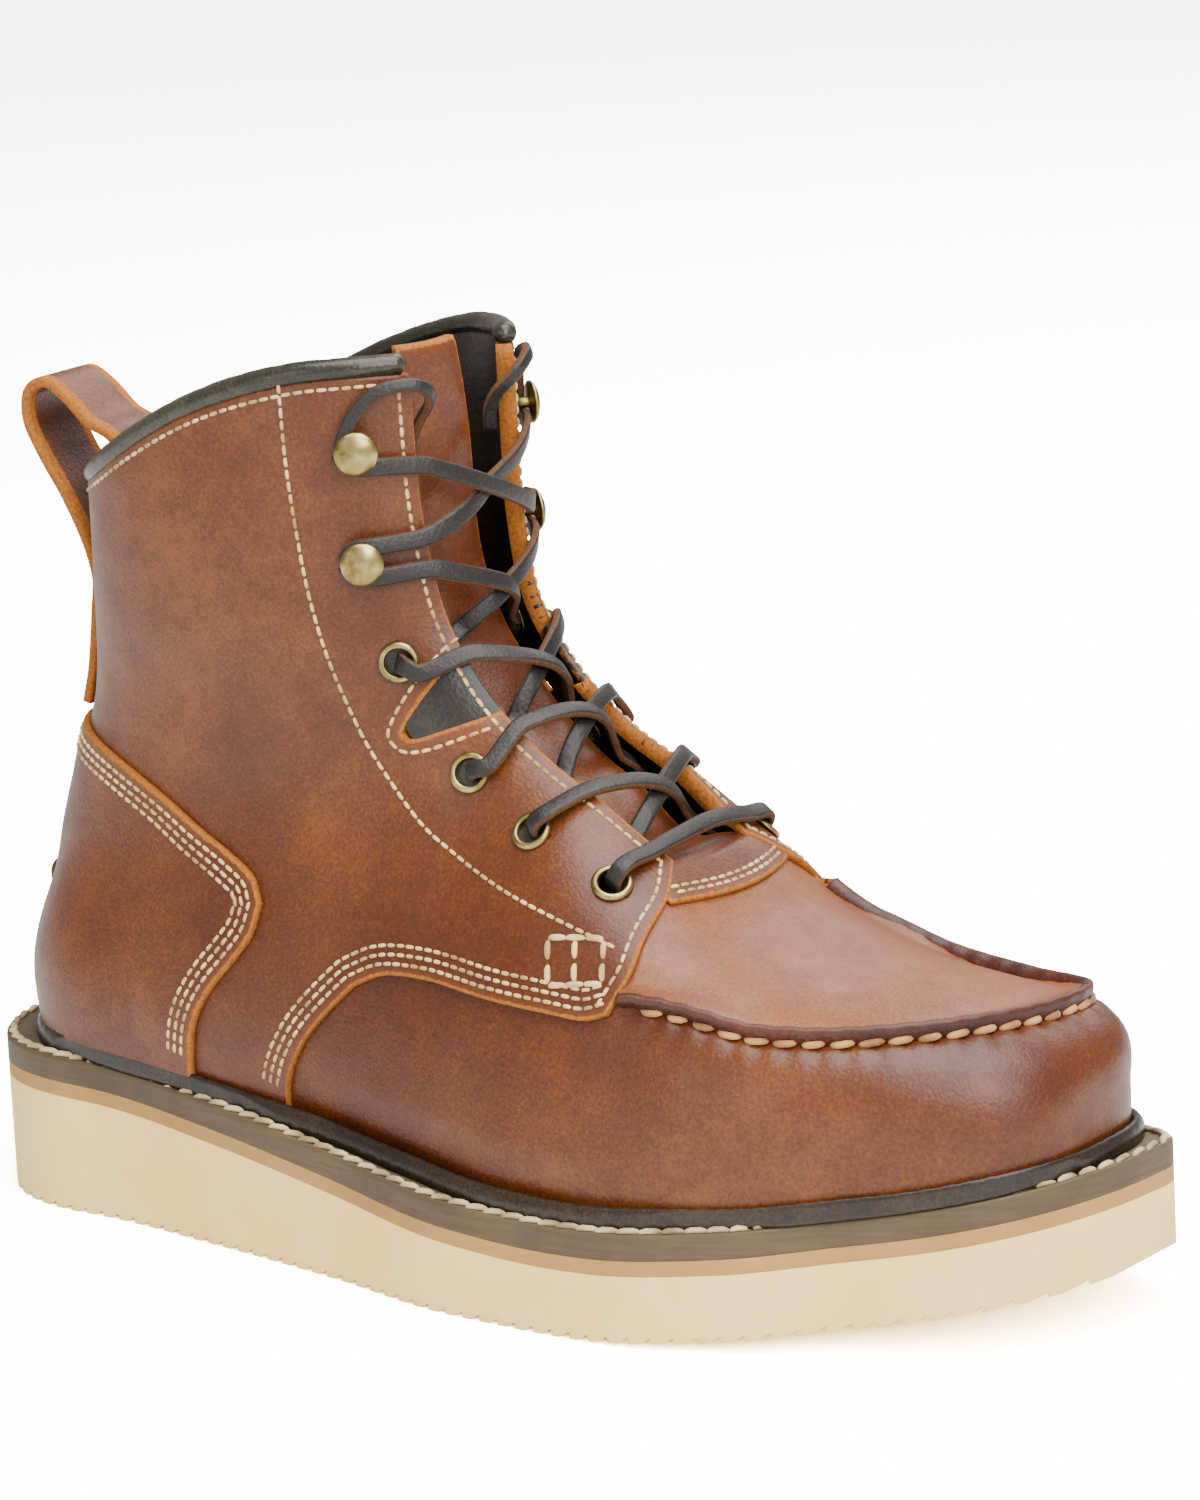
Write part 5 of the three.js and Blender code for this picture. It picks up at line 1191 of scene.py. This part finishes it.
half = STRAP / 2 - 0.45 * np.clip((np.abs(steps) - STRAP_WIDTH / 2 + 0.8) / 0.8, 0, 1) ** 2
profile = np.concatenate([np.column_stack([steps, half]), np.column_stack([steps, -half])[::-1]])
run = run_of(strap)
sway = 0.35 * np.sin(run * 0.11) * ease((run - 35) / 20)
narrow = 1 - 0.04 * ease((run - 40) / 15)
rings = strap[:, None] + outer_face[:, None] * profile[:, 1][None, :, None]
rings[..., 1] += profile[:, 0][None, :] * narrow[:, None] + sway[:, None]
points, faces = ring_sweep(rings)
add_piece("pull_strap", points, faces, [CUT_LEATHER], ["pull_loop"],
          edge=np.tile(STRAP_WIDTH / 2 - np.abs(profile[:, 0]), len(strap)))

# %% [markdown]
# Eyelets are brass tubes rolled over on both faces. Speed hooks are a domed cap on a short post, so
# the lace is hooked round them without threading. Both are spun from sheet and plated, then darkened
# and rubbed back, which leaves the high spots bright.

# %% Eyelets and hooks
EYELET_PROFILE = [
    (3.15, 0.8), (3.2, 1.15), (3.45, 1.4), (3.85, 1.48), (4.3, 1.36), (4.6, 1.05), (4.78, 0.65), (4.75, 0.3),
    (4.5, 0.15), (3.72, 0.15), (3.72, -4.6), (4.6, -4.7), (4.7, -5.3), (3.2, -5.4),
]
HOOK_PROFILE = [
    (0.02, 0.2), (4.2, 0.2), (4.35, 0.55), (4.2, 1.0), (3.4, 1.35), (1.7, 1.6), (1.3, 2.1), (1.3, 4.2),
    (1.6, 4.7), (4.5, 4.8), (4.9, 4.95), (5.0, 5.25), (4.85, 5.6), (4.2, 6.1), (3.2, 6.55), (1.8, 6.9),
    (0.6, 7.0), (0.02, 7.0),
]
for side, word in SIDES:
    for i, spot in enumerate(eyelet_spots[side]):
        points, faces = ring_sweep(turned_rings(spot, EYELET_PROFILE, 36), closed=True)
        add_piece(f"{word}_eyelet_{i + 1}", points, faces, [BRASS],
                  [f"eyelet_{word}_{i + 1}"])
    for i, spot in enumerate(hook_spots[side]):
        points, faces = ring_sweep(turned_rings(spot, HOOK_PROFILE, 36).transpose(1, 0, 2))
        add_piece(f"{word}_speed_hook_{i + 1}", points, faces, [BRASS],
                  [f"hook_{word}_{i + 1}"])

# %% [markdown]
# The lace goes straight across at the bottom, then criss-crosses. At each eyelet one strand dives
# into the hole from above and the other comes out from under the leather, and at the hooks both go
# round the post. Rawhide is stiff, so it rolls slightly from place to place instead of lying dead flat.

# %% Laces
TUCKED = -WALL - SEAT - 3 * GAP - LACE_THICK / 2
ON_EDGE = SEAT + GAP + LACE_THICK / 2 - 0.3
OVER_FLANGE = SEAT + 0.8 + GAP + LACE_THICK / 2
UNDER_CAP = SEAT + 0.8 + 1.7
PULLED_THICK = 2.0
LACE_RISE = np.array([
    # share of the way, how far tucked, how far at the middle's height
    [0.18, 1.00, 0.0], [0.25, 1.00, 0.1], [0.33, 0.70, 0.3], [0.41, 0.32, 0.7], [0.50, 0.08, 1.0],
    [0.59, 0.00, 0.7], [0.67, 0.00, 0.3], [0.75, 0.00, 0.1], [0.82, 0.00, 0.0],
])


def beside_spot(spot, way, lift):
    base = spot["at"] + way
    return np.concatenate([base + spot["out"] * lift, spot["out"], base])


def meets(kind, spot, other, above):
    way = other["at"] - spot["at"]
    way = unit(way - spot["out"] * np.dot(way, spot["out"]))
    if kind == "tucked":
        return [beside_spot(spot, way * 5.7, TUCKED)]
    if kind == "into":
        steps = [(0, -0.4 * WALL), (0.7, 1.7), (2.4, OVER_FLANGE), (5.2, OVER_FLANGE)]
        return [beside_spot(spot, way * reach, lift) for reach, lift in steps]
    rounds = [(-3.5, 0.5), (-3.2, 1.6), (-1.5, 3.1), (2.0, 3.5)]
    turn = 1 if above else -1
    return [beside_spot(spot, spot["front"] * a + spot["up"] * b * turn, UNDER_CAP) for a, b in rounds]


def lace_strand(start, end, starts, ends, middle, roll):
    low = TUCKED if starts == "tucked" else ON_EDGE
    way = unit(start["out"] + end["out"])
    share, tucked, flat = LACE_RISE.T
    inside = start["at"] + (end["at"] - start["at"]) * share[:, None]
    base = way_out(inside, np.broadcast_to(way, inside.shape))
    out = outward(base)
    lift = (ON_EDGE + (middle - ON_EDGE) * flat) * (1 - tucked) + low * tucked
    between = np.concatenate([base + out * lift[:, None], out, base], axis=1)
    stops = np.concatenate([meets(starts, start, end, True), between,
                            meets(ends, end, start, False)[::-1]])
    line = smooth_line(stops, step=0.8)
    at, out, base = line[:, :3], unit(line[:, 3:6]), line[:, 6:]
    along = unit(np.gradient(at, axis=0))
    across = unit(np.cross(np.gradient(base, axis=0), out))
    over = unit(np.cross(across, along))
    across = np.cross(along, over)
    turn = roll * np.sin(np.linspace(0, math.pi, len(at)) * 1.6 + roll * 7)[:, None]
    across, over = across * np.cos(turn) + over * np.sin(turn), over * np.cos(turn) - across * np.sin(turn)
    return flat_lace(at, across, over, LACE_WIDTH, PULLED_THICK)


def joined(parts):
    """Several lists of points and faces as one."""
    points, faces, start = [], [], 0
    for p, f in parts:
        points.append(p)
        faces += [[i + start for i in face] for face in f]
        start += len(p)
    return np.concatenate(points), faces


def lace_piece(name, strands, node):
    points, faces = joined([strand[:2] for strand in strands])
    edge = np.concatenate([strand[2] for strand in strands])
    add_piece(name, points, faces, [LACE_LEATHER], [node], edge=edge)


stops = {side: eyelet_spots[side] + hook_spots[side] for side in (-1, 1)}
bar = lace_strand(stops[-1][0], stops[1][0], "into", "into", ON_EDGE + TONGUE / 2, 0.1)
lace_piece("lace_bar", [bar], "lace_bottom_bar")
rolls = [0.22, -0.18, 0.3, -0.25, 0.15]
for i in range(1, 6):
    starts, ends = ("tucked" if i <= 4 else "hook"), ("into" if i < 4 else "hook")
    under = lace_strand(stops[-1][i - 1], stops[1][i], starts, ends, ON_EDGE - 1.9, rolls[i - 1])
    over = lace_strand(stops[1][i - 1], stops[-1][i], starts, ends, ON_EDGE + 0.3, rolls[-i])
    lace_piece(f"lace_cross_{i}", [under, over], f"lace_crossing_{i}")

# %% [markdown]
# Every visible stitch is real geometry: a short fat bead of thread whose ends sink into the leather.
# All stitches of one seam are one mesh, made in a single sweep of numpy. Fine rows have a pitch of
# about 2.8 mm, the hand-sewn look of moc and welt comes from thick thread at about twice that.

# %% Stitch beads
FINE_PITCH = 2.8
BEAD_RINGS = np.array([(-0.5, 0.35), (-0.4, 0.78), (-0.2, 1.0), (0.2, 1.0), (0.4, 0.78), (0.5, 0.35)])


def stitch_beads(line, out, pitch, length, width, lift, lean=0.0, tall=0.8, sink=0.35):
    run = run_of(line)
    count = max(1, int(run[-1] // pitch))
    at = (np.arange(count) + 0.5) * run[-1] / count
    table = np.concatenate([line, out], axis=1)
    centre = np.stack([np.interp(at, run, column) for column in table.T], -1)
    ahead = np.stack([np.interp(at + 0.3, run, column) for column in line.T], -1)
    behind = np.stack([np.interp(at - 0.3, run, column) for column in line.T], -1)
    centre, normal = centre[:, :3], unit(centre[:, 3:])
    along = unit(ahead - behind)
    along = unit(along - normal * (along * normal).sum(-1, keepdims=True))
    across = np.cross(normal, along)
    along, across = along + across * lean, across - along * lean
    along, across = unit(along), unit(across)
    vary = 1 + 0.06 * np.sin(at * 3.7 + 1)
    turns = np.linspace(0, 2 * math.pi, 6, endpoint=False) + 0.3
    points = []
    for share, fat in BEAD_RINGS:
        spot = centre + along * (share * length * vary)[:, None]
        spot = spot + normal * (lift - sink * width * (2 * abs(share)) ** 2.5)
        for a in turns:
            reach = across * math.cos(a) + normal * math.sin(a) * tall
            points.append(spot + reach * fat * width / 2)
    points = np.stack(points, 1)
    first = np.arange(count)[:, None, None] * points.shape[1]
    i = np.arange(len(BEAD_RINGS) - 1)[:, None] * 6
    j = np.arange(6)[None, :]
    k = (j + 1) % 6
    quads = np.stack([i + j, i + k, i + 6 + k, i + 6 + j], -1).reshape(1, -1, 4)
    faces = (first + quads).reshape(-1, 4).tolist()
    tail = (len(BEAD_RINGS) - 1) * 6
    faces += [[n * points.shape[1] + m for m in range(6)] for n in range(count)]
    faces += [[n * points.shape[1] + tail + m for m in range(6)] for n in range(count)]
    return points.reshape(-1, 3), faces


def stitch_piece(name, beads, material):
    points, faces = joined(beads)
    return add_piece(name, points, faces, [material])


def fine_row(line, lift=0.25):
    return stitch_beads(line, outward(line), FINE_PITCH, 2.45, 0.95, lift)


print("a fine row has", round(100 / FINE_PITCH), "stitches in 100 mm")

# %% [markdown]
# Three rows hold the wing to the vamp and three hold the counter. One runs round the throat, one
# under the collar, one down the line of eyelets and one round the notch. Where the wing's corner
# takes the pull of the laces, a box of thick stitches, the bar tack, is sewn over it.

# %% Rows on the upper and the counter
ROW_SHIFTS = (2.6, 4.7, 6.8)
WING_ROWS_FROM, COUNTER_ROWS_FROM, THROAT_ROW_TO = 39.5, 42.5, 203
NOTCH_RING = np.array([
    (144.4, 144.6), (142.0, 141.6), (133.0, 126.6), (132.2, 122.8), (135.4, 119.9), (140.0, 120.0),
    (154.6, 125.2),
])
BAR_TACK = np.array([
    (184.2, -41.4, 85.3), (197.5, -38.5, 85.6), (200.5, -43.8, 77.0), (187.0, -45.3, 75.4),
    (184.2, -41.4, 85.3),
])
rows, counter_rows, thick_rows = [], [], []
for side in (-1, 1):
    border = quarter_borders[side]
    wing = even(border["lower"], step=1.5)
    wing = wing[wing[:, 2] > WING_ROWS_FROM]
    for shift in ROW_SHIFTS:
        rows.append(fine_row(beside(wing, shift, side)))
    edge = even(np.concatenate([border["throat"], border["front"][1:]]), step=1.5)
    edge = edge[edge[:, 2] < THROAT_ROW_TO]
    rows.append(fine_row(beside(edge, 3.0, side)))
    rows.append(fine_row(mirrored(smooth_line(EYESTAY_LINE, step=1.5), side)))
    collar = even(border["collar"], step=1.5)
    rows.append(fine_row(beside(collar[8:-3], 2.2, side)))
    box = mirrored(BAR_TACK, side)
    sides_of_box = [*zip(box, box[1:]), ((box[0] + box[1]) / 2, (box[2] + box[3]) / 2)]
    for a, b in sides_of_box:
        tack = on_leather(np.linspace(a, b, 12))
        thick_rows.append(stitch_beads(tack, outward(tack), 4.3, 4.7, 1.5, 0.35))
    start = np.column_stack([NOTCH_RING[:, 0], np.zeros(len(NOTCH_RING)), NOTCH_RING[:, 1]])
    start = smooth_line(start, step=1.0)
    rows.append(fine_row(way_out(start, np.broadcast_to([0.0, side, 0.0], start.shape))))
    heel_edge = np.concatenate([counter_lines[side]["front"], counter_lines[side]["top"][1:]])
    heel_edge = even(heel_edge, step=1.5)
    heel_edge = heel_edge[heel_edge[:, 2] > COUNTER_ROWS_FROM]
    for shift in ROW_SHIFTS:
        counter_rows.append(fine_row(beside(heel_edge, -shift, side), COUNTER_LIFT + 0.1))
stitch_piece("upper_stitches", rows, CREAM_THREAD)
stitch_piece("bar_tacks", thick_rows, CREAM_THREAD)
stitch_piece("counter_stitches", counter_rows, CREAM_THREAD)

# %% [markdown]
# The strap has a row near each edge, and the tongue's foot is held to the plug by two arched rows.

# %% Rows on the strap and the tongue
strap_rows = []
for y in (-7.6, 7.6):
    line = back_line(strap_from + 2, strap_leaves - 1, 40) - [SEAT + STRAP - 0.05, 0, 0]
    line[:, 1] = y
    backwards = np.broadcast_to([-1.0, 0.0, 0.0], line.shape)
    strap_rows.append(stitch_beads(line, backwards, FINE_PITCH, 2.15, 0.75, 0.1))
stitch_piece("strap_stitches", strap_rows, CREAM_THREAD)

base_rows = []
for x in (206.4, 208.6):
    y = np.linspace(-20.5, 20.5, 40)
    arc = on_leather(np.stack([x - 0.010 * y ** 2, y, 0 * y + 92.5], -1))
    lift = FLAP - QUARTER + 0.1
    base_rows.append(fine_row(arc, lift))
stitch_piece("tongue_stitches", base_rows, CREAM_THREAD)

# %% [markdown]
# The moc thread runs at the lip's foot and faces half sideways. The welt thread lies on the midsole's
# ledge, a little in from its rim, and each of its stitches slants a little, as a lockstitch does.

# %% Moc and welt thread
MOC_ASIDE, WELT_INSET, WELT_PITCH = 1.75, 1.7, 5.2
lift = (0.55 - vamp_drop(lip_seam[:, 0]))[:, None]
moc_line = lip_seam + lip_across * MOC_ASIDE + lip_out * lift
side_out = unit(lip_out * 0.75 + lip_across)
moc = stitch_beads(moc_line[6:-6], side_out[6:-6], STITCH_PITCH, 5.5, 1.8, 0.1, lean=0.10, tall=0.75,
                   sink=0.5)
stitch_piece("moc_stitches", [moc], MOC_THREAD)

fine_x = SOLE_LENGTH * (1 - np.cos(np.linspace(0, math.pi, 400))) / 2
outline = np.concatenate([
    np.column_stack([fine_x, sole_edge(fine_x, -1), 0 * fine_x]),
    np.column_stack([fine_x, sole_edge(fine_x, 1), 0 * fine_x])[::-1][1:],
])
outline = even(outline, step=1.0)
inward = np.cross([0.0, 0.0, 1.0], unit(np.gradient(outline, axis=0)))
welt_line = outline + inward * WELT_INSET
welt_line[:, 2] = ledge_height(welt_line[:, 0]) + 0.1
upwards = np.broadcast_to([0.0, 0.0, 1.0], welt_line.shape)
welt = stitch_beads(welt_line, upwards, WELT_PITCH, 5.6, 1.6, 0.45, lean=0.22, tall=0.9, sink=0.25)
stitch_piece("welt_stitches", [welt], WELT_THREAD)

# %% [markdown]
# Inside the boot lies the insole, a sheet of plain vegetable tanned leather that the foot rests on.
# It is slightly dished by the last, and its edge lies against the lining.

# %% Insole
INSOLE = 4.0
rings = []
for place in SOLE_LENGTH * (1 - np.cos(np.linspace(0.12, math.pi - 0.12, 60))) / 2:
    a, b = [foot_line(side, place, place, 1)[0] for side in (-1, 1)]
    a, b = a - outward(a) * (WALL + 1.0), b - outward(b) * (WALL + 1.0)
    shares = np.linspace(0, 1, 12)[:, None]
    line = a * (1 - shares) + b * shares
    dish = 1.2 * (4 * shares[:, 0] * (1 - shares[:, 0]))
    top, low = line.copy(), line.copy()
    top[:, 2] = ledge_height(line[:, 0]) + INSOLE + 0.5 - dish
    low[:, 2] = ledge_height(line[:, 0]) + GAP
    rings.append(np.concatenate([top, low[::-1]]))
points, faces = ring_sweep(rings)
add_piece("leather_insole", points, faces, [INSOLE_LEATHER], ["insole"])

# %% [markdown]
# The boot stands on a plain white sweep under soft studio light: a big softbox above, one from the
# toe side, and weak ones from the side and behind. A catalogue photographer lights the white sweep
# separately, far brighter than the boot, and here the camera alone sees that extra light on room and
# floor.

# %% Floor and lights
floor_mesh = bpy.data.meshes.new("floor")
floor_mesh.from_pydata([(-4, -4, 0), (4, -4, 0), (4, 4, 0), (-4, 4, 0)], [], [(0, 1, 2, 3)])
paper, tree, _ = empty_material("white_paper_sweep")
seen = put(tree, "LightPath").outputs["Is Camera Ray"]
lit = put(tree, "BsdfDiffuse", Color=(0.85, 0.84, 0.82, 1.0))
bright = put(tree, "BsdfDiffuse", Color=(8.0, 7.95, 7.8, 1.0))
close_material(tree, put(tree, "MixShader", i0=seen, i1=lit.outputs[0], i2=bright.outputs[0]))
floor_mesh.materials.append(paper)
floor = bpy.data.objects.new("floor", floor_mesh)
bpy.context.scene.collection.objects.link(floor)


def softbox(name, place, size, watts):
    data = bpy.data.lights.new(name, "AREA")
    data.shape, data.size, data.energy = "SQUARE", size, watts
    lamp = bpy.data.objects.new(name, data)
    place = Vector(place)
    lamp.location = place
    lamp.rotation_euler = (Vector((0, 0, 0.08)) - place).to_track_quat("-Z", "Y").to_euler()
    bpy.context.scene.collection.objects.link(lamp)


softbox("softbox_above", (0.3, -0.1, 1.4), 1.3, 44)
softbox("softbox_toe", (1.2, -0.7, 0.9), 0.9, 24)
softbox("softbox_side", (-0.2, -1.6, 0.6), 1.0, 8)
softbox("softbox_behind", (-0.2, 1.3, 1.15), 1.0, 11)
world = bpy.data.worlds.new("bright_room")
bpy.context.scene.world = world
world.use_nodes = True
tree = world.node_tree
seen = put(tree, "LightPath").outputs["Is Camera Ray"]
strength = put(tree, "MapRange", Value=seen, To_Min=0.5, To_Max=14.0)
tree.nodes["Background"].inputs[0].default_value = shade("#fbfaf8")
tree.links.new(strength.outputs[0], tree.nodes["Background"].inputs[1])
print("lights:", len(bpy.data.lights))

# %% Finish
bpy.context.view_layer.update()
